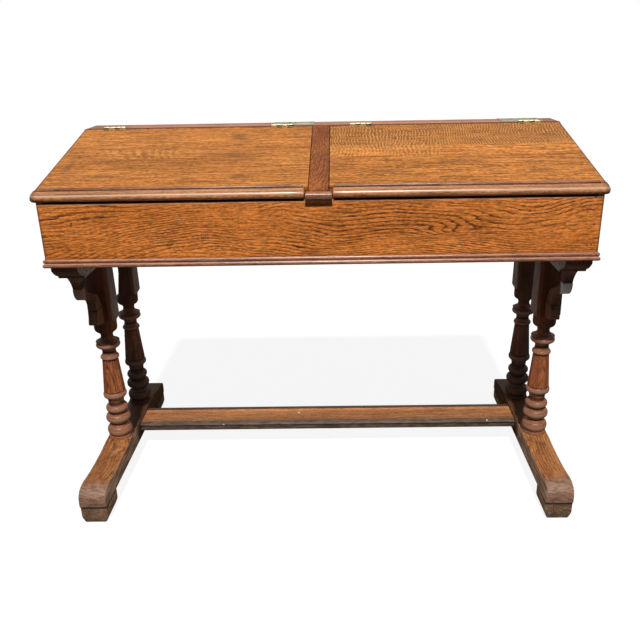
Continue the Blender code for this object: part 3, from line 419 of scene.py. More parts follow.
def oak(name, along, light, middle, dark, across=1, seed=0.0, lines=16.0, pitch=110.0, figure=(1.5, 8.0),
        eyes=(), line_depth=0.75, streak=(14, 280), depth=0.36, pore_depth=0.6, stain=0.35, gloss=0.42,
        coat=0.0, polish=0.30, shine=0.30, more=()):
    """Varnished oak with its grain along one axis.

    Growth lines are the fractional part of slow stretched noise plus a steady climb across the board.
    An eye is an oval that lifts the sum, so that the lines close round it.
    Streaks and short dark pores lie over them.
    """
    f = Finish(name, Coat_Weight=coat, Coat_Roughness=polish, Specular_IOR_Level=shine)
    grain = f.moved(f.place, (1, 1, 1), (seed, seed * 0.7, seed * 1.3), GRAIN_TURN[along])

    def fibre(run, width, detail=2.0, roughness=0.6, distortion=0.0, shift=(0, 0, 0)):
        """Noise drawn out along the grain."""
        return f.noise((run, width, width), detail, roughness, distortion, grain, shift)

    field = f.scaled(f.parts(grain)[across], pitch, fibre(30, 190, 3.0, 0.65))
    field = f.scaled(fibre(*figure, 2.0, 0.45, 0.3), lines, field)
    for centre, reach, height in eyes:
        field = f.scaled(f.patch(centre, reach, ragged=0.0, soft=1.0), height, field)
    dash = f.scaled(f.span(fibre(48, 220), 0.36, 0.58), 0.38, 0.62)
    drift = f.scaled(f.span(fibre(5, 22, 2.0, 0.5, shift=(1.0, 0, 0)), 0.32, 0.62), 0.80, 0.20)
    line = f.times(f.ramp(f.maths("FRACT", field), GROWTH_LINE), dash, drift)
    speck = fibre(streak[0] * 9, streak[1] * 1.6)
    fine = f.scaled(fibre(*streak, 3.0), 0.5, f.times(speck, 0.5))
    pore = f.times(f.span(fibre(40, 520), 0.53, 0.62), f.maths("ADD", line, 0.35))
    colour = f.mix(f.span(fibre(2.6, 16, 3.0, 0.55), 0.30, 0.70), middle, light)
    colour = f.toned(colour, f.scaled(f.span(fine, 0.36, 0.64), 2 * depth, 1.0 - depth))
    colour = f.over(colour, dark, line, line_depth)
    colour = f.over(colour, tuple(c * 0.4 for c in dark), pore, pore_depth)
    soil = f.span(f.noise((7, 11, 11), 5.0, 0.65, shift=(seed, 0, 0)), 0.52, 0.74)
    colour = f.over(colour, tuple(c * 0.7 for c in dark), soil, stain)
    for step in more:
        colour = step(f, colour)
    f.give("Base Color", colour)
    f.give("Roughness", f.scaled(pore, 0.2, f.scaled(fine, 0.20, gloss - 0.10)))
    f.bump(f.scaled(line, -0.5, f.scaled(pore, -1.0, f.times(fine, 0.5))), 0.35, 0.0006)
    return f.material


def banded(*bands):
    """A step that tints a lid's glued-up boards: pairs of a share from front to back and brightness."""
    def tint(f, colour):
        return f.toned(colour, f.ramp(f.span(f.y, *LID_DEPTHS, False), bands))
    return tint


def flecked(low, high, strength, left=-1.0, right=1.0, pitch=0.0075):
    """A step that lays pale wavy ray flecks, and the dark between them, across part of a quartered board.

    They are a sine of the distance along the board, which slow noise bends and other noise thins.
    """
    def lay(f, colour):
        bend = f.scaled(f.noise((5, 10, 1), 1.0), 7.0, f.times(f.noise((60, 60, 1)), 1.6))
        wave = f.maths("SINE", f.times(f.scaled(f.x, 1 / pitch, bend), 2 * math.pi))
        thin = f.span(f.noise((38, 50, 1), 3.0, 0.6, shift=(2.0, 0, 0)), 0.30, 0.58)
        where = f.times(f.within(f.y, low, high, 0.014), f.within(f.x, left, right, 0.04), thin, strength)
        colour = f.over(colour, (0.80, 0.37, 0.105), f.span(wave, 0.1, 0.9), where)
        return f.over(colour, (0.25, 0.082, 0.020), f.span(wave, -0.1, -0.9), where, 0.6)
    return lay


def smudged(depth, *marks):
    """A step that leaves ragged dark smudges, each given by its centre and its half axes on the lid."""
    def mark(f, colour):
        for x, y, across, along in marks:
            stain = f.patch((x, y, lid_height(y)), (across, along, 0.05), ragged=0.5, soft=0.9, grit=70.0)
            colour = f.over(colour, (0.17, 0.075, 0.028), stain, depth)
        return colour
    return mark


def hemmed(f, colour):
    """A lid's front hem, browned under and before the pen stop."""
    return f.over(colour, (0.26, 0.098, 0.038), f.span(f.y, -0.2290, -0.2350), 0.35)


def shaded_ends(near, far):
    """A step that paints shade on the ends of a board, from one distance off the desk's middle to another."""
    def tint(f, colour):
        # Painted shade: the board's ends darkened as if they turned away from the light.
        return f.over(colour, (0.13, 0.052, 0.026), f.span(f.away(), near, far), 0.70)
    return tint


def scored(f, colour):
    """Scores across the front board's grain, a crack, a browned lower edge, a painted highlight along the top
    arris and a nick.
    """
    cut = f.span(f.noise((300, 30, 26), 1.0, 0.5, 0.4, turn=(0, 0.10, 0)), 0.58, 0.66)
    for x, z, across, up in ((-0.178, 0.692, 0.030, 0.020), (-0.072, 0.711, 0.018, 0.012),
                             (-0.232, 0.668, 0.045, 0.010)):
        near = f.patch((x, BOX_FRONT, z), (across, 0.02, up), soft=0.8)
        colour = f.over(colour, (0.07, 0.026, 0.010), cut, near, 0.40)
    crack = f.patch((-0.5005, BOX_FRONT, 0.6960), (0.0014, 0.01, 0.0085), (0.0, 0.35, 0.0), 0.25, 0.4, 500.0)
    colour = f.over(colour, (0.05, 0.018, 0.007), crack, 0.8)
    colour = f.over(colour, (0.12, 0.035, 0.010), f.span(f.z, 0.632, 0.624), 0.35)
    # Painted highlight: the top arris lightened as if it caught the light.
    colour = f.over(colour, (0.62, 0.38, 0.26), f.span(f.z, 0.7352, 0.7362), 0.7)
    nick = f.patch((0.5484, BOX_FRONT, 0.7352), (0.0045, 0.01, 0.0018), grit=500.0)
    return f.over(colour, (0.04, 0.022, 0.016), nick)


def ledge_shade_bands(f, colour):
    """Painted shade on the ledge's front arris, a shinier band behind it, a darker middle and painted shade
    on its ends.
    """
    share = f.span(f.ragged(f.y, (9, 70, 70), 0.010), 0.113, 0.207, False)
    # Brightness from front to back: painted shade at the front arris, then the ledge's own colour, a darker
    # middle and a near-even back.
    bands = ((0.0, 0.20), (0.16, 0.24), (0.24, 1.0), (0.48, 1.0), (0.60, 0.62), (0.80, 0.66), (0.92, 0.95))
    sheen = ((0.0, 0.0), (0.18, 0.02), (0.26, 0.40), (0.48, 0.40), (0.60, 0.14))
    f.give("Specular IOR Level", f.ramp(share, sheen))
    colour = f.toned(colour, f.ramp(share, bands))
    # Painted shade towards the ledge's ends.
    return f.over(colour, (0.20, 0.078, 0.036), f.span(f.away(), 0.44, 0.53), 0.55)


def knuckle_gap_shade(f, colour):
    """Painted shade, near black, in the notches that the hinges' fixed knuckles leave in a lid's back edge.
    """
    margin = 0.0012
    for *_, lefts in hinge_places():
        for left in lefts["fixed"]:
            across = f.within(f.x, left + margin, left + KNUCKLE_PITCH - margin, 0.001)
            # Painted shade in each notch behind a fixed knuckle.
            colour = f.over(colour, (0.020, 0.010, 0.004), across, f.span(f.y, 0.0985, 0.1000), 0.95)
    return colour


def nosing_shade_and_highlight(f, colour):
    """A nosing's upper round and ends browned with painted shade, a pale painted highlight band along its
    round, and the dirty groove behind it.
    """
    away = f.away()
    # Painted shade over the upper round.
    upper = f.times(f.span(f.z, 0.7564, 0.7574), f.span(f.y, -0.2515, -0.2535))
    colour = f.over(colour, (0.20, 0.085, 0.038), upper, 0.40)
    # Painted highlight: a pale band along the round, strongest towards the desk's middle.
    pale = f.scaled(f.span(away, 0.52, 0.10), 0.15, 0.80)
    band = f.within(f.ragged(f.z, (11, 60, 60), 0.002, 3.0), 0.7550, 0.7572, 0.0010)
    colour = f.over(colour, (0.74, 0.43, 0.25), band, f.span(f.y, -0.2545, -0.2560), pale)
    # Painted shade on the nosing's ends.
    colour = f.over(colour, (0.13, 0.062, 0.038), f.span(away, 0.5590, 0.5690), 0.65)
    f.give("Coat Weight", f.scaled(f.span(away, 0.550, 0.566), -0.9, 0.9))
    groove = f.within(f.ragged(f.y, 90.0, 0.0012), -0.2424, -0.2396, 0.0010)
    return f.over(colour, (0.035, 0.014, 0.007), groove, 0.92)


def leg_wear_and_shade(f, colour):
    """Greyed varnish on a leg's rings, dirt with painted shade in its coves, by height, a painted shadow over
    the head, and dust with a painted sheen on the head's inner flat.
    """
    old = f.maths("ADD", f.span(f.z, 0.222, 0.214), f.within(f.z, 0.308, 0.358, 0.003))
    colour = f.over(colour, (0.26, 0.138, 0.088), old, 0.40)
    worn = [(ring[0], ring[4]) for ring in RINGS.values()]
    # The worn rings take a greyed tint; the coves take dirt with painted shade.
    for bands, depth, tint in ((worn, 0.66, (0.38, 0.215, 0.142)), (COVES, 0.80, (0.022, 0.010, 0.006))):
        for middle, half in bands:
            near = f.maths("ABSOLUTE", f.maths("SUBTRACT", f.z, middle))
            colour = f.over(colour, tint, f.span(near, half, half * 0.3), depth)
    # Painted shadow: the leg darkened above the line where the box's shadow falls.
    colour = f.over(colour, (0.075, 0.026, 0.012), f.span(f.z, 0.352, 0.372), 0.60)
    # Dust on the head's inner flat, its pale tint partly a painted sheen.
    inner = f.times(f.span(f.away(), LEG_X - 0.0262, LEG_X - 0.0285), f.span(f.z, 0.398, 0.412))
    dust_and_sheen = f.span(f.noise((260, 260, 22), 4.0, 0.7), 0.30, 0.68)
    f.give("Coat Weight", f.scaled(inner, 0.85, 0.15))
    return f.over(colour, (0.52, 0.40, 0.31), inner, dust_and_sheen, 0.6)


def back_leg_low_shade(f, colour):
    """Painted shade that darkens a back leg towards the floor."""
    # Painted shade, deepening towards the floor.
    return f.over(colour, (0.030, 0.015, 0.010), f.span(f.z, 0.30, 0.13), 0.75)


def bearer_dust_and_sheen(f, colour):
    """Grey dust on a bearer's inner face, its pale tint partly a painted sheen."""
    inner = f.span(f.away(), 0.5060, 0.5045)
    dust_and_sheen = f.span(f.noise((90, 160, 160), 4.0, 0.7), 0.30, 0.66)
    f.give("Coat Weight", inner)
    # Pale grey dust, partly painted sheen, over the inner face.
    return f.over(colour, (0.74, 0.66, 0.58), inner, dust_and_sheen)


def carving_shade_and_lit_boss(f, colour):
    """Painted shade in the quirks between the reeds on a console's neck, in the lines about them and in a
    groove over its tail, and its boss, worn pale and whitened on the right console by a painted highlight.
    """
    reed = 0.0042
    wave = f.maths("SINE", f.times(f.x, 2 * math.pi / reed))
    neck = f.times(f.within(f.z, 0.5390, 0.5500, 0.0012), f.span(f.y, -0.160, -0.172))
    reeds = f.times(f.span(wave, 0.0, 0.6), neck)
    lines = f.maths("ADD", f.within(f.z, 0.5515, 0.5522, 0.0010), f.within(f.z, 0.5365, 0.5372, 0.0010))
    groove = f.within(f.z, 0.4565, 0.4585, 0.0012)
    # Painted shade in the quirks, lines and groove of carving that the shape does not have.
    for mark, depth in ((reeds, 0.9), (lines, 0.8), (groove, 0.8)):
        colour = f.over(colour, (0.010, 0.005, 0.003), mark, depth)
    rub = f.span(f.ragged(f.y, 120.0, 0.012, 3.0), -0.158, -0.170)
    boss = f.times(rub, f.within(f.z, 0.5000, 0.5335, 0.002))
    # Painted highlight that whitens the boss towards +X, on top of its worn pale tint.
    lit_rightward = f.span(f.x, -0.2, 0.2)
    tint = f.mix(lit_rightward, (0.62, 0.40, 0.31), (0.95, 0.88, 0.82))
    return f.over(colour, tint, boss, f.scaled(lit_rightward, 0.30, 0.65))


def foot_wear_and_light(f, colour):
    """A foot's greyed toe, pale scuffs and dark stains where shoes rub, a painted shadow behind the front
    leg, painted light on the inner face and painted shade over the pad.
    """
    scuff = f.span(f.noise((60, 20, 60), 3.0, 0.6, 0.8), 0.57, 0.68)
    colour = f.over(colour, (0.56, 0.28, 0.11), scuff, 0.5)
    stain = f.span(f.noise((34, 26, 30), 4.0, 0.65, shift=(5.0, 0, 0)), 0.52, 0.66)
    colour = f.over(colour, (0.080, 0.034, 0.016), stain, 0.50)
    toe = f.span(f.ragged(f.y, 34.0, 0.05, 3.0), -0.214, -0.246)
    fray = f.span(f.noise((70, 70, 420), 4.0, 0.70), 0.34, 0.68)
    colour = f.over(colour, f.mix(fray, (0.150, 0.083, 0.056), (0.40, 0.245, 0.165)), toe, 0.90)
    # Painted shadow over the foot behind the front leg.
    colour = f.over(colour, (0.032, 0.017, 0.010), f.span(f.y, -0.030, 0.000), 0.80)
    # Painted light: the inner face lightened as if lit from the ground.
    inner = f.times(f.span(f.away(), LEG_X - 0.0296, LEG_X - 0.0306), f.span(f.y, 0.02, -0.02))
    rub = f.span(f.noise((60, 16, 120), 4.0, 0.7), 0.38, 0.64)
    colour = f.over(colour, f.mix(rub, (0.16, 0.085, 0.050), (0.60, 0.38, 0.25)), inner, 0.85)
    # Painted shade along the foot's lowest edge, over the pad.
    return f.over(colour, (0.028, 0.017, 0.012), f.span(f.z, 0.0425, 0.0395), 0.8)


def pad_scuffs_and_shade(f, colour):
    """A pad's scuffed faces, with painted shade along its top under the foot."""
    fray = f.noise((80, 60, 150), 5.0, 0.72)
    colour = f.over(colour, (0.42, 0.29, 0.20), f.span(fray, 0.52, 0.68), 0.7)
    colour = f.over(colour, (0.035, 0.022, 0.015), f.span(fray, 0.45, 0.34), 0.7)
    # Painted shade along the pad's top, under the foot.
    return f.over(colour, (0.028, 0.017, 0.012), f.span(f.z, 0.0365, 0.0382), 0.8)


def stretcher_wear_shadow_highlight(f, colour):
    """A stretcher's worn top, a painted shadow along its back, its dark front, a painted highlight along the
    bead and chips of filler.
    """
    top = f.times(f.span(f.z, 0.0776, 0.0784), f.span(f.ragged(f.y, 40.0, 0.003, 3.0), 0.0400, 0.0420))
    # Painted shadow of the box along the back of the top.
    shadow_strip = f.span(f.ragged(f.y, 18.0, 0.006), 0.1045, 0.1070)
    fray = f.span(f.noise((40, 150, 150), 4.0, 0.7), 0.35, 0.65)
    wear = ((0.0, 0.66), (0.45, 0.92), (0.72, 1.0), (0.82, 1.35), (1.0, 1.45))
    colour = f.toned(colour, f.ramp(f.span(f.y, 0.042, 0.104, False), wear))
    colour = f.over(colour, f.mix(fray, (0.055, 0.026, 0.015), (0.11, 0.055, 0.033)), shadow_strip)
    colour = f.over(f.mix(fray, (0.070, 0.046, 0.034), (0.155, 0.106, 0.079)), colour, top)
    # Painted highlight along the middle of the bead.
    bead_highlight = f.times(f.within(f.z, 0.0726, 0.0744, 0.0008), f.span(f.y, 0.0325, 0.0295))
    colour = f.over(colour, (0.30, 0.205, 0.150), bead_highlight, f.span(f.noise((30, 90, 90), 3.0), 0.30, 0.62), 0.75)
    for centre in ((-0.279, 0.0290, 0.0735), (-0.083, 0.0278, 0.0660), (0.259, 0.0278, 0.0680),
                   (0.430, 0.0300, 0.0780), (-0.078, 0.0800, 0.0790)):
        colour = f.over(colour, (0.80, 0.74, 0.66), f.patch(centre, (0.0042, 0.0030, 0.0022), grit=600.0))
    return colour


def brass(name, bright, tarnish, cover=0.5, rough=0.30, metal=1.0, shaded_knuckle=False):
    """Aged brass: tarnish in drifting patches, fine rubbing marks, and painted shade on a fixed knuckle's
    front.
    """
    f = Finish(name, Metallic=metal)
    drift = f.span(f.noise(55.0, 4.0, 0.6), 0.62 - cover * 0.3, 0.80 - cover * 0.3)
    rub = f.noise((60, 900, 900))
    colour = f.mix(drift, bright, tarnish)
    # Painted shade: the knuckle's front near black and not metal.
    if shaded_knuckle:
        front = f.times(f.span(f.y, HINGE_Y - 0.0010, HINGE_Y - 0.0018),
                        f.span(f.z, KNUCKLE_Z + 0.0008, KNUCKLE_Z - 0.0002))
        colour = f.over(colour, (0.020, 0.011, 0.005), front, 0.97)
        f.give("Metallic", f.scaled(front, -metal, metal))
    f.give("Base Color", colour)
    f.give("Roughness", f.scaled(drift, 0.2, f.scaled(rub, 0.2, rough - 0.1)))
    f.bump(rub, 0.15, 0.0002)
    return f.material


def ware():
    """Glazed white ware, crazed, with dried ink low in the pot."""
    f = Finish("glazed_ware", Coat_Weight=0.5, Coat_Roughness=0.08, Roughness=0.22)
    ink = f.span(f.ragged(f.z, 260.0, 0.010, 3.0), 0.830, 0.822)
    web = f.node("ShaderNodeTexVoronoi", {"Vector": f.place, "Scale": 420.0}, feature="DISTANCE_TO_EDGE")
    crack = f.span(web.outputs["Distance"], 0.05, 0.0)
    colour = f.over((0.78, 0.75, 0.68), (0.35, 0.28, 0.20), crack, 0.35)
    f.give("Base Color", f.over(colour, (0.012, 0.016, 0.045), ink))
    f.bump(crack, -0.1, 0.0002)
    return f.material


# Colours that several finishes share, light, middle and dark, and grains that several share
GOLDEN = ((0.66, 0.215, 0.045), (0.47, 0.145, 0.028), (0.15, 0.043, 0.010))
RAW = ((0.42, 0.25, 0.125), (0.32, 0.18, 0.085), (0.17, 0.085, 0.038))
RED = ((0.60, 0.270, 0.155), (0.42, 0.168, 0.090), (0.10, 0.032, 0.016))
LID_GRAIN = {"lines": 7.0, "pitch": 190.0, "figure": (0.8, 4.0), "line_depth": 0.45, "streak": (12, 190),
             "stain": 0.25, "shine": 0.25}
END_GRAIN = {"lines": 22.0, "pitch": 150.0, "figure": (1.8, 7.0), "line_depth": 0.85}
RAW_GRAIN = {"gloss": 0.62, "shine": 0.2, "stain": 0.45}
RED_GRAIN = {"lines": 8.0, "pitch": 150.0, "line_depth": 0.5, "gloss": 0.38, "coat": 0.9}
LEG_GRAIN = {"lines": 10.0, "pitch": 200.0, "figure": (2.0, 14.0), "line_depth": 0.8}
# The lids' front hem, with painted shade in the hinge notches and on the side ends.
LID_WEAR_AND_SHADE = (hemmed, knuckle_gap_shade, shaded_ends(0.5652, 0.5685))

LID_LEFT = oak(
    "lid_oak_left", "X", (0.72, 0.270, 0.058), (0.54, 0.192, 0.039), (0.26, 0.084, 0.018), depth=0.52,
    **LID_GRAIN,
    more=(banded((0.0, 0.98), (0.30, 0.98), (0.470, 0.92), (0.476, 0.74), (0.482, 0.94), (0.62, 1.0),
                 (0.80, 1.02), (1.0, 1.02)),
          flecked(-0.072, -0.036, 0.60, -0.45, -0.32, 0.021),
          smudged(0.60, (-0.190, 0.042, 0.030, 0.030), (-0.165, -0.181, 0.028, 0.018),
                  (-0.190, -0.067, 0.070, 0.022), (-0.537, -0.120, 0.012, 0.050),
                  (-0.456, -0.170, 0.045, 0.016)),
          *LID_WEAR_AND_SHADE))
LID_RIGHT = oak(
    "lid_oak_right", "X", (0.74, 0.276, 0.058), (0.56, 0.198, 0.040), (0.26, 0.082, 0.018), seed=4.0,
    depth=0.62, **LID_GRAIN,
    more=(banded((0.0, 0.96), (0.469, 0.96), (0.476, 0.70), (0.483, 1.20), (0.60, 1.14), (0.66, 0.66),
                 (0.84, 0.66), (1.0, 0.76)),
          flecked(-0.020, 0.100, 0.80, pitch=0.0068), flecked(-0.080, -0.020, 0.70, 0.0, 0.25, 0.0085),
          smudged(0.45, (0.451, -0.174, 0.030, 0.020), (0.147, -0.167, 0.050, 0.020),
                  (0.300, -0.120, 0.060, 0.012)),
          *LID_WEAR_AND_SHADE))
# The front board's ends take painted shade.
FRONT = oak("front_oak", "X", (0.92, 0.298, 0.061), (0.73, 0.222, 0.041), (0.095, 0.028, 0.009), 2, 1.7,
            lines=22.0, pitch=165.0, figure=(2.2, 6.0), line_depth=1.0, streak=(14, 260), depth=0.44,
            pore_depth=0.75, stain=0.12, more=(scored, shaded_ends(0.5600, 0.5640)),
            eyes=(((0.285, BOX_FRONT, 0.668), (0.130, 1.0, 0.019), 2.3),
                  ((-0.125, BOX_FRONT, 0.700), (0.060, 1.0, 0.024), 2.6),
                  ((-0.620, BOX_FRONT, 0.640), (0.420, 1.0, 0.200), 7.5)))
BACK = oak("back_oak", "X", *GOLDEN, 2, 3.9, **END_GRAIN)
SIDE = oak("end_oak", "Y", *GOLDEN, 2, 3.3, **END_GRAIN)
INSIDE = oak("inside_oak", "X", *RAW, 1, 6.1, **RAW_GRAIN)
INSIDE_ACROSS = oak("inside_oak_across", "Y", *RAW, 2, 6.4, **RAW_GRAIN)
LEDGE = oak("ledge_oak", "X", (0.92, 0.385, 0.215), (0.72, 0.275, 0.145), (0.17, 0.050, 0.026), 1, 2.2,
            lines=10.0, pitch=140.0, line_depth=0.5, gloss=0.38, coat=0.2, more=(ledge_shade_bands,))
MUNTIN = oak("muntin_oak", "Y", (0.44, 0.132, 0.032), (0.29, 0.080, 0.018), (0.085, 0.025, 0.009), 1, 5.2,
             lines=14.0, pitch=190.0, figure=(3.0, 18.0), line_depth=1.0, depth=0.50)
CAP = oak("cap_oak", "X", (0.48, 0.205, 0.110), (0.32, 0.126, 0.066), (0.07, 0.024, 0.012), 2, 7.2,
          gloss=0.36, coat=0.4)
NOSING = oak("nosing_oak", "X", (0.76, 0.345, 0.150), (0.57, 0.235, 0.097), (0.12, 0.038, 0.015), 1, 8.4,
             lines=8.0, pitch=150.0, line_depth=0.5, streak=(14, 200), coat=0.9, polish=0.24, more=(nosing_shade_and_highlight,))
STOP = oak("pen_stop_oak", "X", (0.46, 0.205, 0.112), (0.33, 0.132, 0.068), (0.12, 0.040, 0.018), 1, 9.1,
           gloss=0.36, coat=0.4)
MOULDING = oak("moulding_oak", "X", *RED, 2, 2.9, **RED_GRAIN)
MOULDING_END = oak("moulding_end_oak", "Y", *RED, 2, 2.4, **RED_GRAIN)
LEG = oak("leg_oak", "Z", (0.43, 0.142, 0.054), (0.28, 0.082, 0.030), (0.085, 0.022, 0.008), 1, 3.7,
          gloss=0.40, more=(leg_wear_and_shade,), **LEG_GRAIN)
# A darker copy of the leg finish: painted shade for the back legs under the box.
LEG_BACK_SHADED = oak("back_leg_oak_shaded", "Z", (0.26, 0.105, 0.058), (0.16, 0.060, 0.032), (0.050, 0.017, 0.009), 1, 3.1,
               gloss=0.46, more=(leg_wear_and_shade, back_leg_low_shade), **LEG_GRAIN)
CONSOLE = oak("console_oak", "Z", (0.30, 0.125, 0.064), (0.20, 0.076, 0.037), (0.075, 0.025, 0.011), 1, 4.6,
              lines=10.0, pitch=200.0, gloss=0.40, coat=0.15, more=(carving_shade_and_lit_boss,))
BEARER = oak("bearer_oak", "Y", (0.26, 0.105, 0.053), (0.17, 0.062, 0.030), (0.06, 0.018, 0.008), 1, 5.5,
             lines=10.0, pitch=150.0, gloss=0.40, more=(bearer_dust_and_sheen,))
FOOT = oak("foot_oak", "Y", (0.52, 0.205, 0.066), (0.35, 0.124, 0.038), (0.09, 0.030, 0.010), 1, 6.7,
           lines=14.0, pitch=150.0, figure=(2.2, 16.0), line_depth=0.85, gloss=0.46, stain=0.4,
           more=(foot_wear_and_light,))
PAD = oak("pad_oak", "Y", (0.28, 0.165, 0.096), (0.17, 0.098, 0.056), (0.055, 0.030, 0.016), 1, 7.9,
          lines=12.0, pitch=150.0, gloss=0.6, shine=0.2, stain=0.5, more=(pad_scuffs_and_shade,))
STRETCHER = oak("stretcher_oak", "X", (0.58, 0.250, 0.098), (0.42, 0.165, 0.058), (0.12, 0.042, 0.015), 1,
                8.8, lines=10.0, pitch=160.0, figure=(1.8, 14.0), streak=(14, 220), gloss=0.48,
                more=(stretcher_wear_shadow_highlight,))
HINGE_BRASS = brass("hinge_brass", (0.88, 0.76, 0.46), (0.50, 0.37, 0.16), 0.15, 0.42, 0.45)
# The fixed leaves carry painted shade on their knuckles' fronts.
FIXED_BRASS = brass("fixed_leaf_brass", (0.88, 0.76, 0.46), (0.50, 0.37, 0.16), 0.15, 0.42, 0.45, True)
PLATE_BRASS = brass("plate_brass", (0.76, 0.72, 0.54), (0.40, 0.38, 0.26), 0.45, 0.42, 0.45)
COVER_BRASS = brass("cover_brass", (0.62, 0.58, 0.42), (0.32, 0.30, 0.19), 0.50, 0.42, 0.50)
PIN_STEEL = brass("pin_steel", (0.52, 0.48, 0.40), (0.20, 0.14, 0.09), 0.5, 0.36)
NAIL_IRON = brass("nail_iron", (0.16, 0.12, 0.10), (0.07, 0.045, 0.03), 0.5, 0.5)
WARE = ware()


def bead(ring, count=13):
    """Half-round ring of a turning, from its lower to its upper side."""
    middle, half, root, edge = RINGS[ring][:4]
    return arc((root, middle), (edge - root, half), -90, 90, count)


def leg_grid(x, y, cut):
    """A leg: turned rings with an eight-sided shaft and a chamfered square head.

    Each row mixes a circle of the turned radius with an eight-cornered ring, of half width far and
    half flat near.
    The columns run at an even pace along the eight sides, so the corners stay on columns.
    The head's outer half is narrowed by the cut: by two thirds of it at the head's foot, fully from CUT_FULL.
    """
    base = FOOT_TOP + CLEARANCE
    low = joined([(0.0120, base), (0.0300, base), (0.0290, 0.0945)], bead("foot"), [(0.0200, 0.1270)],
                 bead("lower"), [(0.0205, 0.1590)], bead("middle"),
                 drawn((0.0200, 0.1800), (0.0175, 0.1900), (0.0225, 0.2015), 6), bead("upper"))
    shaft = np.linspace((0.0245, 0.2190), (0.0180, 0.3050), 10)
    reel = drawn((0.0195, 0.3170), (0.0130, 0.3275), (0.0205, 0.3380), 8)
    neck = drawn((0.0285, 0.3550), (0.0145, 0.3590), (0.0145, 0.3710), 8)
    cup = drawn((0.0175, 0.3795), (CUP_RADIUS, 0.3805), (CUP_RADIUS, 0.3920), 8)
    high = joined(bead("neck", 9), reel, bead("collar"), [(0.0265, 0.3535), (0.0285, 0.3550)], neck,
                  [(0.0175, 0.3790), (0.0175, 0.3795)], cup)
    head_z = np.concatenate((np.linspace(SCOOP_LOW, HEAD_LOW, 7), np.linspace(HEAD_LOW, LEG_TOP, 12)[1:]))
    scoop = np.clip((head_z - SCOOP_LOW) / (HEAD_LOW - SCOOP_LOW), 0.0, 1.0) ** 1.8
    taper = np.clip((head_z - HEAD_LOW) / (LEG_TOP - HEAD_LOW), 0.0, 1.0)
    head_far = CUP_RADIUS + (HEAD_HALF - CUP_RADIUS) * scoop - HEAD_TAPER * taper
    head_near = head_far - (HEAD_CHAMFER[0] + (HEAD_CHAMFER[1] - HEAD_CHAMFER[0]) * scoop)
    z = np.concatenate((low[:, 1], shaft[:, 1], high[:, 1], head_z))
    radius = np.concatenate((low[:, 0], shaft[:, 0], high[:, 0], np.full(len(head_z), CUP_RADIUS)))
    far = np.concatenate((low[:, 0], shaft[:, 0], high[:, 0], head_far))
    near = np.concatenate((low[:, 0], shaft[:, 0] * math.tan(math.pi / 8), high[:, 0], head_near))
    square = np.concatenate((low[:, 0] * 0, shaft[:, 0] * 0 + 1, high[:, 0] * 0, np.clip(scoop * 2, 0, 1)))
    pace = 12
    s = np.arange(8 * pace)
    angle = -math.pi / 8 + s * math.pi / 4 / pace
    circle = radius[:, None, None] * np.stack((np.cos(angle), np.sin(angle)), axis=-1)[None]
    far_way = np.array(((1, 0), (1, 0), (0, 1), (0, 1), (-1, 0), (-1, 0), (0, -1), (0, -1)))
    near_way = np.array(((0, -1), (0, 1), (1, 0), (-1, 0), (0, 1), (0, -1), (-1, 0), (1, 0)))
    corner = far[:, None, None] * far_way + near[:, None, None] * near_way
    share = ((s % pace) / pace)[None, :, None]
    polygon = corner[:, s // pace] * (1 - share) + corner[:, (s // pace + 1) % 8] * share
    flat = circle * (1 - square[:, None, None]) + polygon * square[:, None, None]
    narrow = 1 - cut * np.interp(z, (SCOOP_LOW, HEAD_LOW, CUT_FULL), (0.0, 0.65, 1.0))[:, None]
    flat[..., 0] *= np.where(flat[..., 0] * x > 0, narrow, 1.0)
    return carried(flat, z, "Z") + np.array((x, y, 0.0))


def leg_face(z):
    """Depth of a front leg's front flat at a height, which leans back by the head's taper."""
    share = (z - HEAD_LOW) / (LEG_TOP - HEAD_LOW)
    return LEG_Y["front"] - (HEAD_HALF - HEAD_TAPER * share) - CLEARANCE


def console_outline():
    """Side of a console: hollow neck, round boss, stepped tail and open scroll, anticlockwise from +X."""
    top = LEG_TOP
    low = top - CONSOLE_DROP
    face = leg_face(low)
    neck = face - CONSOLE_REACH
    throat = (neck + 0.0235, top - 0.0340)
    boss = (throat[0] - 0.0020, throat[1] - 0.0020)
    boss_low = (neck + 0.0445, top - 0.0670)
    waist = (face - 0.0530, top - 0.0800)
    step = (face - 0.0405, top - 0.1110)
    tail = (face - 0.0490, top - 0.1390)
    lower = (step[0] - 0.003, step[1] - 0.002)
    hook = (neck + 0.044, top - 0.0400)
    back = [(face - 0.010, top - 0.0990), (face - 0.020, top - 0.0805), (face - 0.031, top - 0.0725)]
    heel = low + 0.043
    return joined(
        [(neck, top)], drawn((neck, top), (throat[0] - 0.004, throat[1] + 0.016), throat, 12), [boss],
        drawn(boss, (boss[0] + 0.0005, boss_low[1] + 0.007), boss_low, 14), [waist],
        drawn(waist, (step[0] - 0.001, waist[1] - 0.004), step, 9), [lower],
        drawn(lower, (step[0] - 0.0035, step[1] - 0.016), tail, 9),
        drawn(tail, (tail[0], tail[1] - 0.007), (tail[0] + 0.008, tail[1] - 0.008), 6),
        [(tail[0] + 0.028, low + 0.003), (face, low), (leg_face(heel), heel)], back,
        drawn(back[-1], (hook[0] + 0.004, top - 0.0530), hook, 14),
        drawn(hook, (hook[0] - 0.001, top - 0.020), (neck + 0.048, top), 9))


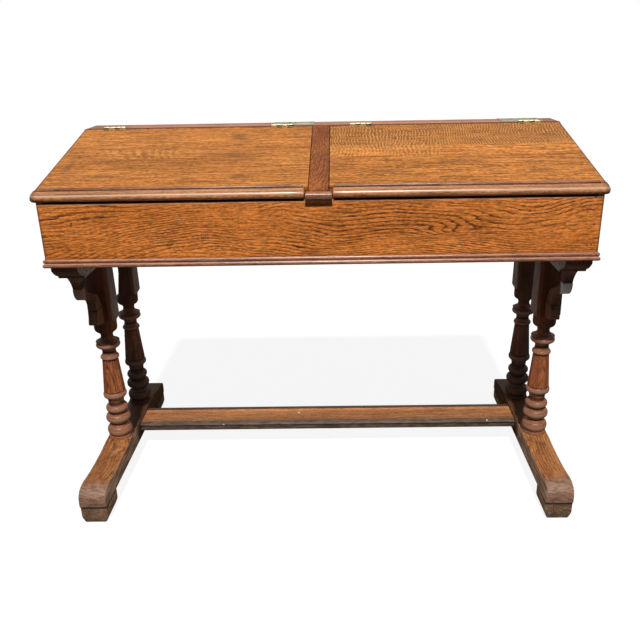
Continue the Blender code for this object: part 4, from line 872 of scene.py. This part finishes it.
def foot_outline():
    """Side of a foot rail: level under the legs, hollowed to a round toe, eased down to the heel."""
    toe, bottom = FOOT_REACH, FOOT_LOW
    seat_front = (LEG_Y["front"] - FOOT_HALF, FOOT_TOP)
    seat_back = (LEG_Y["back"] + FOOT_HALF, FOOT_TOP)
    shoulder = (-toe + 0.0416, FOOT_TOP - 0.002)
    heel = (toe, FOOT_TOP - 0.027)
    knee = (toe - 0.016, FOOT_TOP - 0.014)
    middle = ((shoulder[0] + seat_front[0]) / 2, FOOT_TOP - 0.012)
    return joined(
        [(-toe + 0.004, bottom), (toe - 0.003, bottom), (toe, bottom + 0.004), heel],
        drawn(heel, (toe, FOOT_TOP - 0.015), knee, 10),
        drawn(knee, (seat_back[0] + 0.024, FOOT_TOP - 0.006), seat_back, 10), [seat_front],
        drawn(seat_front, middle, shoulder, 16),
        drawn(shoulder, (-toe, shoulder[1]), (-toe, bottom + 0.016), 14), [(-toe, bottom + 0.006)])


def moulding_outline():
    """Base moulding's section, out from the box and up: a deep bead with a slighter bead over it."""
    low = arc((0.0, BOX_LOW + 0.0050), (0.0050, 0.0050), -90, 90, 15)
    high = arc((0.0, BOX_LOW + 0.0140), (0.0036, 0.0040), -90, 90, 13)
    points = joined([(0.0, BOX_LOW)], low, high[1:], [(0.0, BOX_LOW + 0.018)])
    return np.maximum(points[:, 0], 0.0), points[:, 1]


def make_trestles():
    """Legs, consoles, feet and pads of the two ends, and the stretcher between them."""
    for side, sign in SIDES.items():
        x = sign * LEG_X
        for end, y in LEG_Y.items():
            name = side + "_" + end + "_leg"
            leg = leg_grid(x, y, LEFT_BACK_CUT if name == "left_back_leg" else 0.0)
            # Back legs take the darker copy, painted shade.
            finish = LEG if end == "front" else LEG_BACK_SHADED
            piece(name + "_turned", [leg], finish, "desk", [name], 32)
        console = board(eased(console_outline(), 0.0016), x - CONSOLE_HALF, x + CONSOLE_HALF, "X", 0.0007)
        piece(side + "_console_sawn", [console], CONSOLE, "desk", [side + "_console"])
        foot = board(eased(foot_outline(), 0.0040), x - FOOT_HALF, x + FOOT_HALF, "X", 0.0026, 5)
        piece(side + "_foot_rail", [foot], FOOT, "desk", [side + "_foot"])
        for end, turn in (("front", -1), ("back", 1)):
            name = side + "_" + end + "_pad"
            piece(name + "_block", [pad_grid(x, turn * PAD_Y)], PAD, "desk", [name])
    make_stretcher()


def pad_grid(x, y):
    """Pad under a toe: an eased rectangle drawn in towards the floor by a share at each height."""
    z = np.array((0.0, 0.0010, 0.0050, 0.0100, 0.0140, 0.0165, 0.0370, 0.0385))
    share = np.array((1.05, 0.93, 0.64, 0.28, 0.06, 0.0, 0.0, 0.08))
    ring = oblong((-1, 1), (-1, 1), 0.10, 6)[0]
    size = np.array(PAD_HALF) - share[:, None] * np.array(PAD_DRAW)
    return carried(np.array((x, y)) + size[:, None] * ring[None], z, "Z")


def make_stretcher():
    """Flat stretcher, its front edge worked with a bead between two quirks."""
    front, back = STRETCHER_Y
    low, top = STRETCHER_Z
    radius = STRETCHER_BEAD
    nose = arc((front + radius, STRETCHER_BEAD_Z), (radius, radius), 90, 270, 12)
    outline = joined([(front + radius, low), (back, low), (back, top), (front + 2 * radius, top)], nose)
    reach = LEG_X - FOOT_HALF - CLEARANCE
    stretcher = board(eased(outline, 0.0016), -reach, reach, "X", 0.0004)
    piece("stretcher_rail", [stretcher], STRETCHER, "desk", ["stretcher"])


def make_mouldings():
    """Base mouldings: the section carried along each side, its ends moved out by its reach for the mitre."""
    out, z = moulding_outline()
    ends = BOX_HALF + out + CLEARANCE
    x = np.stack((-ends, ends))
    y = np.broadcast_to(BOX_FRONT - CLEARANCE - out, x.shape)
    grid = np.stack((x, y, np.broadcast_to(z, x.shape)), axis=-1)
    piece("front_base_moulding_run", [grid[:, ::-1]], MOULDING, "desk", ["front_base_moulding"])
    y = np.stack((BOX_FRONT - out + CLEARANCE, np.full(len(out), BOX_BACK)))
    for side, sign in SIDES.items():
        x = np.broadcast_to(sign * ends, y.shape)
        grid = np.stack((x, y, np.broadcast_to(z, y.shape)), axis=-1)[:, ::-sign]
        piece(side + "_base_moulding_run", [grid], MOULDING_END, "desk", [side + "_base_moulding"])


def make_lid_trim():
    """Half-round nosings and pen stops on the lids.

    A known fault: the nosing's outline runs clockwise, so its faces point inwards and its ends flare by
    up to 1 mm.
    """
    half = LID_BOARD / 2
    tip = (HINGE_Y - BOX_FRONT + NOSING_OVERHANG) / math.cos(LID_SLOPE) + half * math.tan(LID_SLOPE)
    joint = tip - NOSING_DEPTH
    nose = arc((tip - half, -half), (half, half), -90, 90, 19)
    rail = joined([(joint + CLEARANCE, -LID_BOARD)], nose, [(joint + CLEARANCE, 0.0)])
    round_bar = arc((joint - STOP_SET_BACK, CLEARANCE), (STOP_RADIUS, STOP_RADIUS), 180, 0, 13)
    nosing = eased(on_lid(rail), 0.0012)
    stop = eased(on_lid(round_bar), 0.0006)
    for side, sign in SIDES.items():
        ends = sorted(sign * place for place in NOSING_ENDS)
        grid = round_end(board(nosing, *ends, "X", 0.0010, 4, 24, NOSING_SWAY), sign)
        lid = side + "_lid"
        piece(side + "_nosing", [grid], NOSING, lid, [lid + "_nosing"])
        ends = sorted(sign * place for place in STOP_ENDS)
        grid = board(stop, *ends, "X", 0.0015)
        piece(side + "_pen_stop_bead", [grid], STOP, lid, [side + "_pen_stop"])


def round_end(grid, sign):
    """Draw a nosing's outer end in by 1 - sqrt(1 - t^2), t the height from its middle as a share of its half.

    The draw is slight above, where the end meets the board's, and half the board's thickness below.
    """
    half = LID_BOARD / 2
    rise = (grid[..., 2] - lid_height(grid[..., 1])) * math.cos(LID_SLOPE)
    offset = np.clip((rise + half) / half, -1.0, 1.0)
    draw = (1 - np.sqrt(1 - offset ** 2)) * np.where(offset > 0, NOSING_DRAW, half)
    near = np.clip((sign * grid[..., 0] - NOSING_ENDS[1] + NOSING_ROUND) / NOSING_ROUND, 0.0, 1.0)
    grid[..., 0] -= sign * draw * near
    return grid


def make_hinges():
    """Butt hinges: eased barrels on thin leaves, and pins with low heads."""
    half = HINGE_LENGTH / 2
    reach = half + CLEARANCE
    for side, number, middle, lefts in hinge_places():
        name = side + "_hinge_" + str(number)
        leaves = (("fixed", 1, "desk", FIXED_BRASS), ("moving", -1, side + "_lid", HINGE_BRASS))
        for kind, turn, body, finish in leaves:
            faces = sorted((HINGE_Y + turn * CLEARANCE, HINGE_Y + turn * (CLEARANCE + LEAF_THICK)))
            leaf = oblong(faces, (LEDGE_TOP - LEAF_DROP, KNUCKLE_Z - LEAF_UNDER_KNUCKLE), 0.0003, 3)
            neck = oblong(faces, (KNUCKLE_Z - LEAF_NECK[0], KNUCKLE_Z - LEAF_NECK[1]), 0.0003, 3)
            grids = [board(leaf, middle - half, middle + half, "X", 0.0003)]
            for left in lefts[kind]:
                right = left + KNUCKLE_PITCH
                grids.append(rod(left + KNUCKLE_GAP, right - KNUCKLE_GAP, KNUCKLE_RADIUS, 0.0002))
                grids.append(board(neck, left + CLEARANCE, right - CLEARANCE, "X", 0.0002))
            node = name + "_" + kind + "_leaf"
            piece(node + "_plate", grids, finish, body, [node])
        heads = [rod(middle - reach - PIN_HEAD_LENGTH, middle - reach, PIN_HEAD_RADIUS),
                 rod(middle + reach, middle + reach + PIN_HEAD_LENGTH, PIN_HEAD_RADIUS)]
        piece(name + "_pin_heads", heads, PIN_STEEL, "desk", [name + "_pin"])


def make_ink_fittings():
    """White-ware pots under the plates, and flush screws at the plates' free ends."""
    top = LEDGE_TOP - CLEARANCE
    low = LEDGE_TOP - POT_HEIGHT
    floor = low + POT_FLOOR
    centre = 0.0004
    foot_round = 0.002
    rim_round = 0.001
    lip_radius, lip_out, lip_half = POT_LIP
    pot = joined(
        [(centre, low), (POT_RADIUS - foot_round, low)],
        arc((POT_RADIUS - foot_round, low + foot_round), (foot_round, foot_round), -90, 0, 6),
        [(POT_RADIUS, top - 2 * lip_half)],
        arc((lip_radius, top - lip_half), (lip_out, lip_half), -90, 90, 7),
        [(POT_BORE + rim_round, top)],
        arc((POT_BORE + rim_round, top - rim_round), (rim_round, rim_round), 90, 180, 5),
        [(POT_BORE, floor + 0.004)],
        drawn((POT_BORE, floor + 0.004), (POT_BORE, floor), (POT_BORE - 0.004, floor), 6), [(centre, floor)])
    face = LEDGE_TOP + CLEARANCE + PLATE_THICK
    screw = [(0.0026, -0.0004), (0.0026, 0.00005), (0.0016, 0.00014), (0.0002, 0.00016)]
    along, apart = PLATE_SCREW
    for side, x in INK_X.items():
        grid = turned(pot, (x, INK_Y, 0.0))
        piece(side + "_ink_pot", [grid], WARE, "desk", [side + "_inkwell"])
        screws = [turned(screw, (x + along, INK_Y + turn * apart, face), 20) for turn in (-1, 1)]
        piece(side + "_plate_screws", screws, PIN_STEEL, "desk", ())


def make_fastenings():
    """Nail heads in the front board's right end, and a peg in the right foot."""
    head = [(0.0002, -0.0005), (0.0011, -0.0004), (0.0017, -0.0001), (0.0017, 0.0008)]
    places = ((0.5416, 0.6388), (0.5497, 0.6387), (0.5506, 0.6821))
    nails = [turned(head, (x, BOX_FRONT, z), 18, "Y") for x, z in places]
    piece("front_board_nails", nails, NAIL_IRON, "desk", ())
    peg = [(0.0030, -0.0130), (0.0030, -0.0096), (0.0018, -0.0090), (0.0002, -0.0089)]
    grid = turned(peg, (LEG_X - 0.015, -0.118, FOOT_TOP), 18)
    piece("right_foot_peg", [grid], HINGE_BRASS, "desk", ())


def soften(name, finish, width=0.0010):
    """Dress a carried board: join its loose triangles, clear flat edges away and round the arrises."""
    made = nodes[name]
    made.data.materials.clear()
    made.data.materials.append(finish)
    weld = made.modifiers.new("Joined", "WELD")
    weld.merge_threshold = 0.00001
    flat = made.modifiers.new("Flats", "DECIMATE")
    flat.decimate_type = "DISSOLVE"
    flat.angle_limit = math.radians(1.0)
    edge = made.modifiers.new("Arrises", "BEVEL")
    edge.width = width
    edge.segments = 2
    edge.limit_method = "ANGLE"
    edge.angle_limit = math.radians(35)
    edge.harden_normals = False


def dress_boards():
    """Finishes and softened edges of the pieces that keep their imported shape."""
    boards = {
        "front_board": FRONT, "back_board": BACK, "left_side_board": SIDE, "right_side_board": SIDE,
        "bottom_board": INSIDE, "centre_partition": INSIDE_ACROSS, "centre_muntin": MUNTIN,
        "left_ledge": LEDGE, "right_ledge": LEDGE, "left_lid_board": LID_LEFT,
        "right_lid_board": LID_RIGHT, "left_bearer": BEARER, "right_bearer": BEARER, "muntin_cap": CAP,
    }
    for name, finish in boards.items():
        soften(name, finish)
    for side in SIDES:
        soften(side + "_ink_plate", PLATE_BRASS, 0.0002)
        soften(side + "_ink_cover", COVER_BRASS, 0.00015)


def make_slot_ends():
    """Small blocks that close the ends of the slot under the nosings, with tops on the lid's slope."""
    near, far = SLOT_END_Y
    near_top, far_top = (lid_height(y) - LID_BOARD / math.cos(LID_SLOPE) - SLOT_END_GAP for y in SLOT_END_Y)
    outline = eased([(near, SLOT_END_LOW), (far, SLOT_END_LOW), (far, far_top), (near, near_top)], 0.0008)
    for side, sign in SIDES.items():
        ends = sorted(sign * place for place in SLOT_END_X)
        piece(side + "_slot_end", [board(outline, *ends, "X", 0.0006)], SIDE, "desk", ())


def seen_by_eye(tree, in_gloss):
    """1 for rays from the camera or through glass, a share for those seen in gloss, 0 for the rest."""
    path = tree.node("ShaderNodeLightPath").outputs
    gloss = tree.maths("MULTIPLY", path["Is Glossy Ray"], in_gloss)
    direct = tree.maths("MAXIMUM", path["Is Camera Ray"], gloss)
    return tree.maths("MAXIMUM", direct, path["Is Transmission Ray"])


def make_floor():
    """Pale floor that keeps the shadow, and is dull in the light that it sends back."""
    half, drop, glow, paint, dull = 30.0, 0.0002, 0.89, 0.16, 0.06
    mesh = bpy.data.meshes.new("floor")
    corners = [(-half, -half, -drop), (half, -half, -drop), (half, half, -drop), (-half, half, -drop)]
    mesh.from_pydata(corners, [], [(0, 1, 2, 3)])
    floor = bpy.data.objects.new("floor", mesh)
    bpy.context.scene.collection.objects.link(floor)
    material = bpy.data.materials.new("pale_floor")
    material.use_nodes = True
    material.node_tree.nodes.clear()
    tree = Nodes(material.node_tree)
    lit = tree.node("ShaderNodeEmission", {"Strength": glow}).outputs[0]
    painted = tree.node("ShaderNodeBsdfDiffuse", {"Color": (paint, paint, paint, 1.0)}).outputs[0]
    shown = tree.node("ShaderNodeAddShader", {0: lit, 1: painted}).outputs[0]
    unseen = tree.node("ShaderNodeBsdfDiffuse", {"Color": (dull, dull, dull, 1.0)}).outputs[0]
    choice = tree.node("ShaderNodeMixShader", {0: seen_by_eye(tree, 0.0), 1: unseen, 2: shown}).outputs[0]
    tree.node("ShaderNodeOutputMaterial", {"Surface": choice})
    mesh.materials.append(material)


def make_lamp(name, kind, energy, turn, **settings):
    """A lamp low before the desk, turned as given; a sun's place has no effect."""
    lamp = bpy.data.lights.new(name, kind)
    lamp.energy = energy
    for key, value in settings.items():
        setattr(lamp, key, value)
    holder = bpy.data.objects.new(name, lamp)
    holder.location = (0.0, -0.25, 0.14)
    holder.rotation_euler = turn
    bpy.context.scene.collection.objects.link(holder)
    return holder


def make_stage():
    """Floor, white surroundings, a high lamp from the front, two low fills and two weak lamps behind."""
    make_floor()
    world = bpy.data.worlds.new("studio")
    bpy.context.scene.world = world
    world.use_nodes = True
    tree = Nodes(world.node_tree)
    inputs = {"Value": seen_by_eye(tree, 0.25), "To Min": 0.07, "To Max": 1.0}
    back = world.node_tree.nodes["Background"]
    tree.put(back.inputs["Color"], (1.0, 1.0, 1.0, 1.0))
    tree.put(back.inputs["Strength"], tree.node("ShaderNodeMapRange", inputs).outputs[0])
    high = (math.radians(90 - 54), 0.0, 0.0)
    make_lamp("high_lamp", "SUN", 3.2, high, angle=math.radians(2.5), color=(1.0, 0.985, 0.96))
    for side, sign in SIDES.items():
        outward = (0.0, -sign * math.pi / 2, 0.0)
        behind = (math.radians(70), 0.0, sign * math.radians(130))
        for holder in (make_lamp(side + "_fill", "AREA", 0.45, outward, size=0.25),
                       make_lamp(side + "_rear_lamp", "SUN", 0.45, behind, angle=math.radians(20.0))):
            holder.visible_camera = False
            holder.visible_glossy = False


def make_camera():
    """The photograph's view: its place, turn, dip and lean, and its slightly shifted frame."""
    place = (0.0409, -1.6544, 1.0342)
    yaw, dip, lean = math.radians(-0.838), math.radians(21.463), math.radians(-1.043)
    ahead = np.array((math.sin(yaw) * math.cos(dip), math.cos(yaw) * math.cos(dip), -math.sin(dip)))
    right = np.array((math.cos(yaw), -math.sin(yaw), 0.0))
    up = np.cross(right, ahead)
    across = math.cos(lean) * right + math.sin(lean) * up
    upright = -math.sin(lean) * right + math.cos(lean) * up
    camera = bpy.data.cameras.new("camera")
    camera.sensor_width = 36.0
    camera.lens = 40.06
    camera.shift_x = -0.0174
    holder = bpy.data.objects.new("camera", camera)
    turn = np.eye(4)
    turn[:3] = np.stack((across, upright, -ahead, place), axis=-1)
    holder.matrix_world = Matrix(turn.tolist())
    bpy.context.scene.collection.objects.link(holder)
    bpy.context.scene.camera = holder


bpy.context.scene.view_settings.view_transform = "Standard"
dress_boards()
make_trestles()
make_mouldings()
make_lid_trim()
make_hinges()
make_ink_fittings()
make_fastenings()
make_slot_ends()
make_stage()
make_camera()
